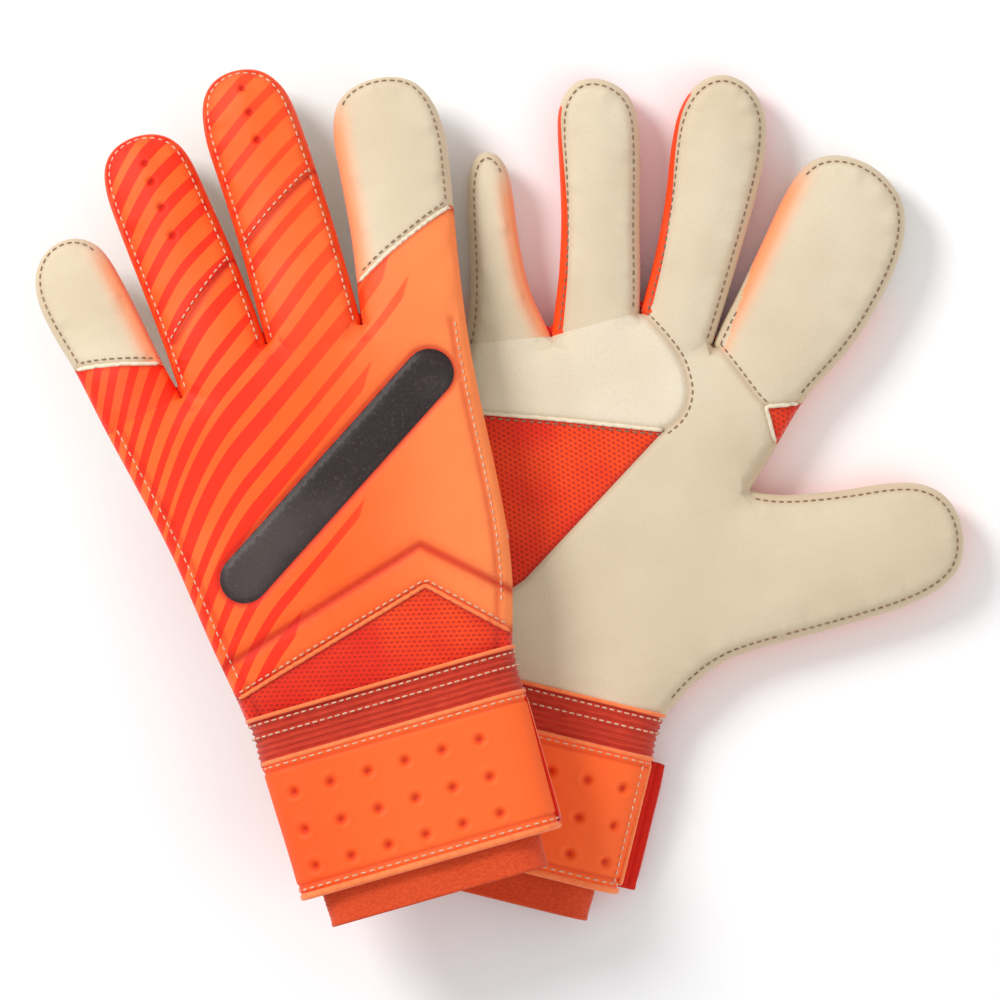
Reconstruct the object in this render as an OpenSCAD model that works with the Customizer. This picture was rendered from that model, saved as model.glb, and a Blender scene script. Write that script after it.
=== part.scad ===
// A pair of goalkeeper gloves lying as they are shown in a shop: the right glove palm up on the surface,
// the left glove on top of it, back of the hand up, with its thumb tucked under its palm.
// Each glove is drawn flat in its own frame and then laid in place: x runs to the thumb side, y to the
// fingertips, z from the palm's outer face (0) to the back's outer face (glove_t), and the origin is the
// middle of the strap's upper edge.

/* [Glove] */
// Thickness of an empty glove, palm face to back face
glove_t = 20; // [18:0.5:24]
// Latex foam and lining cloth of the palm
palm_wall = 5; // [3.5:0.5:6]
// Foam of the back of the hand
back_wall = 5; // [3.5:0.5:6]
// Side walls of the hand and the fingers
side_wall = 4.5; // [3:0.5:6]
// Width of the rounded edge along every outline
edge_round = 4.5; // [3:0.5:6]
// Thickness of the inner lining
lining_t = 1; // [0.6:0.2:1.4]

/* [Cuff] */
// Half the width of the wrist
wrist_half = 46; // [42:1:50]
// Height of the ribbed elastic between the hand and the strap
elastic_h = 15; // [10:1:20]
// Height of the wrist strap
strap_h = 46; // [38:1:52]
// Thickness of the strap
strap_t = 2.7; // [2:0.1:3]
// Half the width of the inner sleeve
sleeve_half = 40; // [36:1:41]
// Length of the inner sleeve below the elastic
sleeve_h = 59; // [50:1:64]
// Wall of the inner sleeve
sleeve_wall = 3; // [2:0.5:4]
// Width of the hook and the loop patches
patch_w = 34; // [24:1:40]

/* [Pose] */
// Turn of the left glove as seen from above
left_turn = 15.9; // [10:0.1:20]
// Turn of the right glove as seen from above
right_turn = -13.8; // [-20:0.1:-10]
// Slope of the left glove down towards its fingertips
left_pitch = 3; // [2:0.5:4]
// Height of the left palm above the surface at the strap's edge
left_lift = 30.5; // [30:0.5:36]
// Further slope of the left fingers, which hang towards the surface
left_droop = 8.5; // [0:0.5:10]
// Gap between a finger and the hand at the knuckle, and between neighbouring fingers
gap = 0.5; // [0.4:0.1:1]

/* [Hidden] */
$fn = 32;

// Rows of a finger table: [knuckle centre, lean from +y, length, half width at the knuckle and at the
// tip, corner radius of the tip, seam height of a roll finger at its -x and +x edge]
LEFT_FINGERS = [
  [[44.2, 128.1], -10, 86, 16.8, 18.6, 16, [15, 38]],
  [[10.8, 134.3], 0, 95, 15.4, 14.4, 10.5, [0, 0]],
  [[-21.8, 131], 4.3, 86, 16, 14, 10, [0, 0]],
  [[-52.2, 123.2], 11, 68, 14, 14.4, 13.5, [23, 12]],
];
RIGHT_FINGERS = [
  [[51, 136], -12, 79, 17.5, 19.3, 16, [15, 38]],
  [[20.8, 145.5], 2.5, 88, 13.4, 14.8, 13, [0, 0]],
  [[-7.2, 139.6], 13.5, 83, 14.2, 13.7, 12.5, [0, 0]],
  [[-36, 125.2], 21.5, 68, 13, 9.9, 9.3, [20, 12]],
];
// Outline of the hand on its thumb side, wrist first, and on its little-finger side, knuckles first:
// [point, whether the edge that starts there is rounded]. The others are open or meet another piece.
LEFT_THUMB_SIDE = [
  [[45.5, elastic_h], true], [[52, 36], true], [[56.7, 74], true], [[58.6, 102], true],
];
LEFT_LITTLE_SIDE = [
  [[-59.5, 96], true], [[-55.3, 74], true], [[-50.7, 42], true], [[-46.5, elastic_h], false],
];
RIGHT_THUMB_SIDE = [
  [[46, elastic_h], true], [[54.6, 30], true], [[68.5, 42.5], true], [[78.2, 49.7], false],
  [[56.6, 95.9], true], [[59.3, 107], true],
];
RIGHT_LITTLE_SIDE = [
  [[-51, 92], true], [[-50, 62], true], [[-48, 36], true], [[-46, elastic_h], false],
];
LEFT = [LEFT_FINGERS, LEFT_THUMB_SIDE, LEFT_LITTLE_SIDE];
RIGHT = [RIGHT_FINGERS, RIGHT_THUMB_SIDE, RIGHT_LITTLE_SIDE];
// Where each glove's origin lies on the surface
left_place = [-35, -79.6];
right_place = [8.1, -79.7];
INDEX = 0;
MIDDLE = 1;
RING = 2;
PINKY = 3;
// The right thumb as a finger row: it leans out from the palm over its knuckle line
RIGHT_THUMB = [[67.4, 72.8], -65, 68, 25.5, 20, 18, [0, 0]];
// The left thumb, tucked: it leaves the palm's thumb side towards the little finger
left_thumb_root = [22, 78];
left_thumb_lean = 69;
left_thumb_len = 44;
left_thumb_half = 18;
left_thumb_t = 17;
left_thumb_drop = 1;
web_t = 3.6;
fold_x = 55;
fold_low = 50;
fold_high = 92;

// Lines that divide the back of the hand, from the little-finger side to the thumb side
CHEVRON_TOP = [[-80, 25], [25.9, 55.9], [80, 6.4]];
CHEVRON_LOW = [[-80, 13.9], [23.8, 42.5], [80, -12.7]];
// Outlines that divide the palm
PATCH = [[-80, 98], [-38, 100], [23, 109], [28, 117], [26, 127], [17, 138], [8, 160], [-80, 160]];
MESH = [[-80, 98], [-38, 100], [23, 109], [-10.7, 48.7], [-30, 27], [-80, 24]];
band_start = [-36, 60];
band_end = [53, 119];
band_half = 7.5;
band_depth = 1.5;

back_z = glove_t - back_wall;
sleeve_z0 = strap_t - 0.7;
sleeve_z1 = glove_t - strap_t - 0.4;
strap_z0 = -0.7;
flap_z0 = glove_t - strap_t;
far = 300;

// Edge profiles: [height, inset from the outline]
PALM_EDGE = [[0, edge_round], [palm_wall * 0.3, edge_round * 0.36], [palm_wall, 0]];
BACK_EDGE = [
  [back_z, 0], [glove_t - back_wall * 0.3, edge_round * 0.36], [glove_t, edge_round],
];
SHELL_EDGE = concat([[palm_wall, 0]], BACK_EDGE);
TUBE_EDGE = concat(PALM_EDGE, BACK_EDGE);

function turned(p, lean) = [p.x * cos(lean) - p.y * sin(lean), p.x * sin(lean) + p.y * cos(lean)];

function arc(centre, r, from, to, steps = 6) =
  [for (i = [0:steps]) let (a = from + (to - from) * i / steps) centre + r * [cos(a), sin(a)]];

// Outline of a finger in its own frame, knuckle on the x axis, shrunk by inset except at the knuckle
function finger_outline(f, inset, start = gap) =
  let (
    base = f[3] - gap - inset,
    tip = f[4] - gap - inset,
    r = max(f[5] - gap - inset, 2),
    top = f[2] - inset
  )
  concat(
    [[-base, start], [base, start]],
    arc([tip - r, top - r], r, 0, 90),
    arc([r - tip, top - r], r, 90, 180)
  );

// End of a finger's knuckle line: side is -1 or 1
function knuckle_end(f, side) = f[0] + turned([side * f[3], 0], f[1]);

// Both ends of a finger's knuckle line, an open edge, and the short step down to the next finger
function knuckle_edge(f) = [[knuckle_end(f, 1), false], [knuckle_end(f, -1), false]];

// Outline of the hand between the wrist and the knuckle lines
function hand_edges(glove) =
  let (
    f = glove[0],
    pinky = f[PINKY]
  )
  concat(
    glove[1], knuckle_edge(f[INDEX]), knuckle_edge(f[MIDDLE]), knuckle_edge(f[RING]),
    [[knuckle_end(pinky, 1), false], [knuckle_end(pinky, -1), true]],
    glove[2]
  );

function inward(a, b) = [a.y - b.y, b.x - a.x] / norm(b - a);

// Corner b of a loop after its two edges have moved inwards by i1 and i2
function moved_corner(a, b, c, i1, i2) =
  let (n1 = inward(a, b), n2 = inward(b, c), det = n1.x * n2.y - n1.y * n2.x)
  abs(det) < 0.001 ? b + i1 * n1 : b + [i1 * n2.y - i2 * n1.y, i2 * n1.x - i1 * n2.x] / det;

// The hand's outline with its rounded edges moved in by inset and its open edges moved out by past
function hand_outline(glove, inset, past = 0) =
  let (e = hand_edges(glove), n = len(e))
  [
    for (i = [0:n - 1])
      let (before = e[(i + n - 1) % n], after = e[(i + 1) % n])
        moved_corner(
          before[0], e[i][0], after[0],
          before[1] ? inset : -past,
          e[i][1] ? inset : -past
        )
  ];

function mouth_outline(half_top, half_low, top, low) =
  [[-half_low, low], [half_low, low], [half_top, top], [-half_top, top]];

function at_height(points, z) = [for (p = points) [p.x, p.y, z]];

// Solid through a stack of rings with the same number of points, lowest ring first
module stack(rings) {
  n = len(rings[0]);
  last = (len(rings) - 1) * n;
  sides = [
    for (k = [0:len(rings) - 2], i = [0:n - 1])
      let (a = k * n + i, d = k * n + (i + 1) % n)
      each [[a, a + n, d + n], [a, d + n, d]]
  ];
  polyhedron(
    points = [for (ring = rings, p = ring) p],
    faces = concat([[for (i = [0:n - 1]) i]], sides, [[for (i = [n - 1:-1:0]) last + i]])
  );
}

module finger_stack(f, profile) {
  stack([for (level = profile) at_height(finger_outline(f, level[1]), level[0])]);
}

module hand_stack(glove, profile) {
  stack([for (level = profile) at_height(hand_outline(glove, level[1]), level[0])]);
}

module slab(z0, z1) {
  translate([0, 0, z0])
    linear_extrude(z1 - z0)
      children();
}

module lay_left() {
  translate([left_place.x, left_place.y, left_lift])
    rotate([0, 0, left_turn])
      rotate([-left_pitch, 0, 0])
        children();
}

module lay_right() {
  translate([right_place.x, right_place.y, glove_t])
    rotate([0, 0, right_turn])
      mirror([0, 0, 1])
        children();
}

// Moves a finger from its own frame to its knuckle line, which lies in the palm's outer face
module at_knuckle(f, droop) {
  translate([f[0].x, f[0].y, 0])
    rotate([0, 0, f[1]])
      rotate([-droop, 0, 0])
        children();
}

// Lays a finger of either glove in place
module laid_finger(glove, finger) {
  if (glove == LEFT)
    lay_left()
      at_knuckle(LEFT_FINGERS[finger], left_droop)
        children();
  else
    lay_right()
      at_knuckle(RIGHT_FINGERS[finger], 0)
        children();
}

// ---- hand ----

// One moulded mesh of the given thickness, which spares the cut panels slivers along their rounded edges
module moulded(thickness) {
  resize([0, 0, thickness])
    children();
}

module palm_plate(glove) {
  hand_stack(glove, PALM_EDGE);
}

module palm_latex(glove) {
  moulded(palm_wall)
    difference() {
      palm_plate(glove);
      slab(-1, palm_wall + 1)
        polygon(PATCH);
      slab(-1, palm_wall + 1)
        polygon(MESH);
    }
}

module palm_patch(glove) {
  moulded(palm_wall)
    intersection() {
      palm_plate(glove);
      slab(-1, palm_wall + 1)
        polygon(PATCH);
    }
}

module palm_mesh(glove) {
  moulded(palm_wall)
    intersection() {
      palm_plate(glove);
      slab(-1, palm_wall + 1)
        polygon(MESH);
    }
}

// The back of the hand with its two side walls, which reach down to the palm
module back_shell(glove) {
  difference() {
    hand_stack(glove, SHELL_EDGE);
    slab(palm_wall - 1, back_z)
      polygon(hand_outline(glove, side_wall, 1));
  }
}

module above(line) {
  slab(-1, far)
    polygon(concat(line, [[80, far], [-80, far]]));
}

module below(line) {
  slab(-1, far)
    polygon(concat([[-80, -far], [80, -far]], [line[2], line[1], line[0]]));
}

module band_bar(z0, z1) {
  run = band_end - band_start;
  slab(z0, z1)
    polygon([
      band_start + [0, band_half * 1.2], band_start - [0, band_half * 1.2],
      band_end - [0, band_half * 1.2], band_start + run + [0, band_half * 1.2],
    ]);
}

module backhand(glove) {
  moulded(glove_t - palm_wall)
    difference() {
      intersection() {
        back_shell(glove);
        above(CHEVRON_TOP);
      }
      band_bar(glove_t - band_depth, glove_t + 1);
    }
}

module accent_band() {
  band_bar(glove_t - band_depth, glove_t);
}

module chevron_pad(glove) {
  moulded(glove_t - palm_wall)
    intersection() {
      back_shell(glove);
      above(CHEVRON_LOW);
      below(CHEVRON_TOP);
    }
}

module wrist_mesh(glove) {
  moulded(glove_t - palm_wall)
    intersection() {
      back_shell(glove);
      below(CHEVRON_LOW);
    }
}

module hand_lining(glove) {
  difference() {
    slab(palm_wall, back_z)
      polygon(hand_outline(glove, side_wall, -1));
    slab(palm_wall + lining_t, back_z - lining_t)
      polygon(hand_outline(glove, side_wall + lining_t, 1));
  }
}

// ---- cuff ----

module cuff_tube(half_top, half_low, top, low, z0, z1, wall) {
  edge = 3;
  outer = [[z0, edge], [z0 + edge, 0], [z1 - edge, 0], [z1, edge]];
  difference() {
    stack([
      for (level = outer)
        at_height(mouth_outline(half_top - level[1], half_low - level[1], top, low), level[0])
    ]);
    slab(z0 + wall, z1 - wall)
      polygon(mouth_outline(half_top - edge - wall, half_low - edge - wall, top + 1, low - 1));
  }
}

module wrist_elastic() {
  cuff_tube(wrist_half - 0.5, wrist_half - 1, elastic_h, 0, 1.5, glove_t - 1.5, 4);
}

module cuff_sleeve() {
  cuff_tube(sleeve_half, sleeve_half - 3, 0, -sleeve_h, sleeve_z0, sleeve_z1, sleeve_wall);
}

module strap_outline(from, to) {
  polygon([[from, -strap_h], [to, -strap_h], [to + 1, 0], [from - 0.6, 0]]);
}

// The fixed part of the strap: across the palm side and round both edges of the wrist
module strap_wrap() {
  union() {
    slab(strap_z0, sleeve_z0)
      strap_outline(-45, 44.5);
    slab(sleeve_z0, sleeve_z1)
      strap_outline(-45, -41);
    slab(sleeve_z0, sleeve_z1)
      strap_outline(41, 44.5);
  }
}

module loop_patch() {
  slab(sleeve_z1 - 1, sleeve_z1)
    translate([4, -strap_h + 6])
      square([patch_w - 4, strap_h - 12]);
}

module sleeve_without_loop() {
  difference() {
    cuff_sleeve();
    loop_patch();
  }
}

// The part of the strap that opens: it spans the back of the wrist from its fixed edge to the pull tab
module strap_flap() {
  slab(flap_z0, glove_t)
    strap_outline(-43.6, 44.5);
}

module hook_patch() {
  slab(sleeve_z1 + 0.1, flap_z0)
    translate([6, -strap_h + 8])
      square([patch_w - 8, strap_h - 16]);
}

module pull_tab(reach) {
  slab(flap_z0 + 0.4, glove_t - 0.4)
    polygon([
      [44.5, -strap_h], [44.5 + reach, -strap_h], [45.5 + reach, -1], [45.5 - 1 / strap_h, -1],
    ]);
}

// ---- fingers ----

module finger_hollow(f, wall_in = side_wall) {
  slab(palm_wall, back_z)
    polygon(finger_outline(f, wall_in, -5));
}

module seam_side(f) {
  slab(palm_wall, far)
    polygon([
      [-far, -10], [far, -10], [far, f[6][1] + (far - f[3]) * (f[6][1] - f[6][0]) / (2 * f[3])],
      [-far, f[6][0] - (far - f[3]) * (f[6][1] - f[6][0]) / (2 * f[3])],
    ]);
}

// A roll finger's latex: all round the fingertip, and only the palm side below the slanting seam
module finger_roll(f) {
  difference() {
    finger_stack(f, TUBE_EDGE);
    finger_hollow(f);
    seam_side(f);
  }
}

// The foam on the back of a roll finger, between the knuckle and the seam
module finger_roll_back(f) {
  intersection() {
    difference() {
      finger_stack(f, TUBE_EDGE);
      finger_hollow(f);
    }
    seam_side(f);
  }
}

module finger_palm(f) {
  finger_stack(f, PALM_EDGE);
}

module finger_back(f) {
  finger_stack(f, BACK_EDGE);
}

// The strip between the palm and the back, along both sides of a finger and round its tip
module finger_sides(f) {
  difference() {
    slab(palm_wall, back_z)
      polygon(finger_outline(f, 0));
    finger_hollow(f);
  }
}

// ---- tucked left thumb ----

THUMB_TUBE = [[0, 0], 0, left_thumb_len, left_thumb_half, left_thumb_half - 1, 16, [0, 0]];

module at_left_thumb() {
  translate([left_thumb_root.x, left_thumb_root.y, -left_thumb_t - left_thumb_drop])
    rotate([0, 0, left_thumb_lean])
      children();
}

// The thumb's latex side faces the palm, and its thin web runs out to the hand's thumb side
module left_thumb_half_latex() {
  half_t = left_thumb_t / 2;
  union() {
    at_left_thumb()
      difference() {
        stack([
          for (level = [[half_t, 0], [left_thumb_t - 3, 0], [left_thumb_t, 3]])
            at_height(finger_outline(THUMB_TUBE, level[1], 0), level[0])
        ]);
        slab(half_t - 1, left_thumb_t - 5)
          polygon(finger_outline(THUMB_TUBE, 4, 5));
      }
    slab(-left_thumb_drop - web_t, -left_thumb_drop)
      polygon([
        [fold_x, fold_low], [fold_x, fold_high],
        left_thumb_root + turned([17, 0.5], left_thumb_lean),
        left_thumb_root + turned([-17, 0.5], left_thumb_lean),
      ]);
  }
}

module left_thumb_half_back() {
  half_t = left_thumb_t / 2;
  at_left_thumb()
    difference() {
      stack([
        for (level = [[0, 3], [3, 0], [half_t, 0]])
          at_height(finger_outline(THUMB_TUBE, level[1], 0), level[0])
      ]);
      slab(4, half_t + 1)
        polygon(finger_outline(THUMB_TUBE, 4, 5));
    }
}

// ---- sub-parts, laid in place ----

CREAM = [0.91, 0.86, 0.75];
ORANGE = [1, 0.45, 0.2];
RED = [0.9, 0.25, 0.1];
MESH_RED = [0.95, 0.32, 0.08];
DARK = [0.22, 0.18, 0.18];
GREY = [0.5, 0.5, 0.5];

module left_palm_latex() { color(CREAM) lay_left() palm_latex(LEFT); }
module left_palm_patch() { color(CREAM) lay_left() palm_patch(LEFT); }
module left_palm_mesh() { color(MESH_RED) lay_left() palm_mesh(LEFT); }
module left_backhand() { color(ORANGE) lay_left() backhand(LEFT); }
module left_accent_band() { color(DARK) lay_left() accent_band(); }
module left_chevron_pad() { color(ORANGE) lay_left() chevron_pad(LEFT); }
module left_wrist_mesh() { color(MESH_RED) lay_left() wrist_mesh(LEFT); }
module left_hand_lining() { color(GREY) lay_left() hand_lining(LEFT); }
module left_wrist_elastic() { color(RED) lay_left() wrist_elastic(); }
module left_cuff_sleeve() { color(RED) lay_left() sleeve_without_loop(); }
module left_strap_wrap() { color(ORANGE) lay_left() strap_wrap(); }
module left_loop_patch() { color(DARK) lay_left() loop_patch(); }
module left_strap_flap() { color(ORANGE) lay_left() strap_flap(); }
module left_hook_patch() { color(DARK) lay_left() hook_patch(); }
module left_pull_tab() { color(RED) lay_left() pull_tab(2.5); }
module left_index_roll() { color(CREAM) laid_finger(LEFT, INDEX) finger_roll(LEFT_FINGERS[INDEX]); }
module left_index_back() { color(ORANGE) laid_finger(LEFT, INDEX) finger_roll_back(LEFT_FINGERS[INDEX]); }
module left_middle_palm() { color(CREAM) laid_finger(LEFT, MIDDLE) finger_palm(LEFT_FINGERS[MIDDLE]); }
module left_middle_back() { color(ORANGE) laid_finger(LEFT, MIDDLE) finger_back(LEFT_FINGERS[MIDDLE]); }
module left_middle_sides() { color(RED) laid_finger(LEFT, MIDDLE) finger_sides(LEFT_FINGERS[MIDDLE]); }
module left_ring_palm() { color(CREAM) laid_finger(LEFT, RING) finger_palm(LEFT_FINGERS[RING]); }
module left_ring_back() { color(RED) laid_finger(LEFT, RING) finger_back(LEFT_FINGERS[RING]); }
module left_ring_sides() { color(RED) laid_finger(LEFT, RING) finger_sides(LEFT_FINGERS[RING]); }
module left_pinky_roll() { color(CREAM) laid_finger(LEFT, PINKY) finger_roll(LEFT_FINGERS[PINKY]); }
module left_pinky_back() { color(RED) laid_finger(LEFT, PINKY) finger_roll_back(LEFT_FINGERS[PINKY]); }
module left_thumb_latex() { color(CREAM) lay_left() left_thumb_half_latex(); }
module left_thumb_back() { color(ORANGE) lay_left() left_thumb_half_back(); }

module right_palm_latex() { color(CREAM) lay_right() palm_latex(RIGHT); }
module right_palm_patch() { color(CREAM) lay_right() palm_patch(RIGHT); }
module right_palm_mesh() { color(MESH_RED) lay_right() palm_mesh(RIGHT); }
module right_backhand() { color(ORANGE) lay_right() backhand(RIGHT); }
module right_accent_band() { color(DARK) lay_right() accent_band(); }
module right_chevron_pad() { color(ORANGE) lay_right() chevron_pad(RIGHT); }
module right_wrist_mesh() { color(MESH_RED) lay_right() wrist_mesh(RIGHT); }
module right_hand_lining() { color(GREY) lay_right() hand_lining(RIGHT); }
module right_wrist_elastic() { color(RED) lay_right() wrist_elastic(); }
module right_cuff_sleeve() { color(RED) lay_right() sleeve_without_loop(); }
module right_strap_wrap() { color(ORANGE) lay_right() strap_wrap(); }
module right_loop_patch() { color(DARK) lay_right() loop_patch(); }
module right_strap_flap() { color(ORANGE) lay_right() strap_flap(); }
module right_hook_patch() { color(DARK) lay_right() hook_patch(); }
module right_pull_tab() { color(RED) lay_right() pull_tab(6.5); }
module right_index_roll() { color(CREAM) laid_finger(RIGHT, INDEX) finger_roll(RIGHT_FINGERS[INDEX]); }
module right_index_back() { color(ORANGE) laid_finger(RIGHT, INDEX) finger_roll_back(RIGHT_FINGERS[INDEX]); }
module right_middle_palm() { color(CREAM) laid_finger(RIGHT, MIDDLE) finger_palm(RIGHT_FINGERS[MIDDLE]); }
module right_middle_back() { color(ORANGE) laid_finger(RIGHT, MIDDLE) finger_back(RIGHT_FINGERS[MIDDLE]); }
module right_middle_sides() { color(RED) laid_finger(RIGHT, MIDDLE) finger_sides(RIGHT_FINGERS[MIDDLE]); }
module right_ring_palm() { color(CREAM) laid_finger(RIGHT, RING) finger_palm(RIGHT_FINGERS[RING]); }
module right_ring_back() { color(RED) laid_finger(RIGHT, RING) finger_back(RIGHT_FINGERS[RING]); }
module right_ring_sides() { color(RED) laid_finger(RIGHT, RING) finger_sides(RIGHT_FINGERS[RING]); }
module right_pinky_roll() { color(CREAM) laid_finger(RIGHT, PINKY) finger_roll(RIGHT_FINGERS[PINKY]); }
module right_pinky_back() { color(RED) laid_finger(RIGHT, PINKY) finger_roll_back(RIGHT_FINGERS[PINKY]); }
module right_thumb_latex() { color(CREAM) lay_right() at_knuckle(RIGHT_THUMB, 0) finger_palm(RIGHT_THUMB); }
module right_thumb_back() {
  color(ORANGE)
    lay_right()
      at_knuckle(RIGHT_THUMB, 0)
        difference() {
          finger_stack(RIGHT_THUMB, SHELL_EDGE);
          slab(palm_wall - 1, back_z)
            polygon(finger_outline(RIGHT_THUMB, side_wall, -5));
        }
}

left_palm_latex();
left_palm_patch();
left_palm_mesh();
left_backhand();
left_accent_band();
left_chevron_pad();
left_wrist_mesh();
left_hand_lining();
left_wrist_elastic();
left_cuff_sleeve();
left_strap_wrap();
left_loop_patch();
left_strap_flap();
left_hook_patch();
left_pull_tab();
left_index_roll();
left_index_back();
left_middle_palm();
left_middle_back();
left_middle_sides();
left_ring_palm();
left_ring_back();
left_ring_sides();
left_pinky_roll();
left_pinky_back();
left_thumb_latex();
left_thumb_back();
right_palm_latex();
right_palm_patch();
right_palm_mesh();
right_backhand();
right_accent_band();
right_chevron_pad();
right_wrist_mesh();
right_hand_lining();
right_wrist_elastic();
right_cuff_sleeve();
right_strap_wrap();
right_loop_patch();
right_strap_flap();
right_hook_patch();
right_pull_tab();
right_index_roll();
right_index_back();
right_middle_palm();
right_middle_back();
right_middle_sides();
right_ring_palm();
right_ring_back();
right_ring_sides();
right_pinky_roll();
right_pinky_back();
right_thumb_latex();
right_thumb_back();
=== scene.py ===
import math
from collections import defaultdict

import bpy
import numpy as np
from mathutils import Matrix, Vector, noise
from mathutils.bvhtree import BVHTree
from mathutils.geometry import delaunay_2d_cdt
from mathutils.kdtree import KDTree


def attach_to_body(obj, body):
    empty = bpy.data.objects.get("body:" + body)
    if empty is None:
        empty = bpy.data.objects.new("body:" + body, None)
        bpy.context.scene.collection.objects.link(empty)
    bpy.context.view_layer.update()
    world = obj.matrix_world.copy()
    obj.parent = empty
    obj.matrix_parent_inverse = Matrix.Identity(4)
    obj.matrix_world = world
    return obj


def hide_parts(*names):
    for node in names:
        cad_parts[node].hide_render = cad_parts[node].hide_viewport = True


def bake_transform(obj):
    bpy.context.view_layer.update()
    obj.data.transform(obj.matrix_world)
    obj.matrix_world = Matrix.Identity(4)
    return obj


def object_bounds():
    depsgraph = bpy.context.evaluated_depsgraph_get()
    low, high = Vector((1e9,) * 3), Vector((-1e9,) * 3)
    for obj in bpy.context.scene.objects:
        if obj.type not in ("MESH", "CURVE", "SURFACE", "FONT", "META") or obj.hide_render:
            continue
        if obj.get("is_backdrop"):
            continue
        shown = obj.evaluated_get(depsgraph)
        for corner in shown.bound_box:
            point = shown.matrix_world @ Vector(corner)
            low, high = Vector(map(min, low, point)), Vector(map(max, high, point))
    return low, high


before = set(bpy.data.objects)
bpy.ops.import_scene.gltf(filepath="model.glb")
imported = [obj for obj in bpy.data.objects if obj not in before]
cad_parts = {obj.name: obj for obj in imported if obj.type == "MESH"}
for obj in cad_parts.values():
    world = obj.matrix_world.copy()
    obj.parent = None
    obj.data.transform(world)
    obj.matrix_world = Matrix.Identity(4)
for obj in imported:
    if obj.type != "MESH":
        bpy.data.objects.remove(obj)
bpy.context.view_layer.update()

MM = 0.001

# ---------------------------------------------------------------- camera
CENTRE = (0.0009, -0.0029, 0.03)
VIEW_WIDTH = 0.337
DISTANCE = 2.2
camera = bpy.data.objects.new("camera", bpy.data.cameras.new("camera"))
bpy.context.scene.collection.objects.link(camera)
camera.location = (CENTRE[0], CENTRE[1], CENTRE[2] + DISTANCE)
camera.data.lens = camera.data.sensor_width * DISTANCE / VIEW_WIDTH
camera.data.clip_end = 20
bpy.context.scene.camera = camera
bpy.context.scene.view_settings.view_transform = "Standard"

# ---------------------------------------------------------------- the gloves' own frames, in millimetres
# x to the thumb side, y to the fingertips, z from the palm's outer face (0) to the back's (20)
HALF_T = 10.0
PITCH = math.radians(3)
# fingers of the upper glove droop by this much over the first stretch beyond the knuckle
DROOP = math.radians(8.5)
DROOP_RUN = 26.0
# length over which a finger's pieces bend at the knuckle
# length beyond the knuckle to the second of the two points that follow() works out
BEND_RUN = 26.0
LAY = {"left": (math.radians(15.9), (-35.0, -79.6, 30.5)), "right": (math.radians(-13.8), (8.1, -79.7, 20.0))}
PARTS = ("hand", "index", "middle", "ring", "pinky", "thumb")

# knuckle centre, lean, length, half width, seam heights of a roll finger at -x and +x
FINGERS = {
    "left": [
        ((44.2, 128.1), -10, 86, 17, (15, 38)),
        ((10.8, 134.3), 0, 95, 15, None),
        ((-21.8, 131.0), 4.3, 86, 15, None),
        ((-52.2, 123.2), 11, 68, 14, (23, 12)),
    ],
    "right": [
        ((51.0, 136.0), -12, 79, 18, (15, 38)),
        ((20.8, 145.5), 2.5, 88, 14, None),
        ((-7.2, 139.6), 13.5, 83, 14, None),
        ((-36.0, 125.2), 21.5, 68, 12, (20, 12)),
        ((67.4, 72.8), -65, 68, 22, None),
    ],
}
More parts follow.
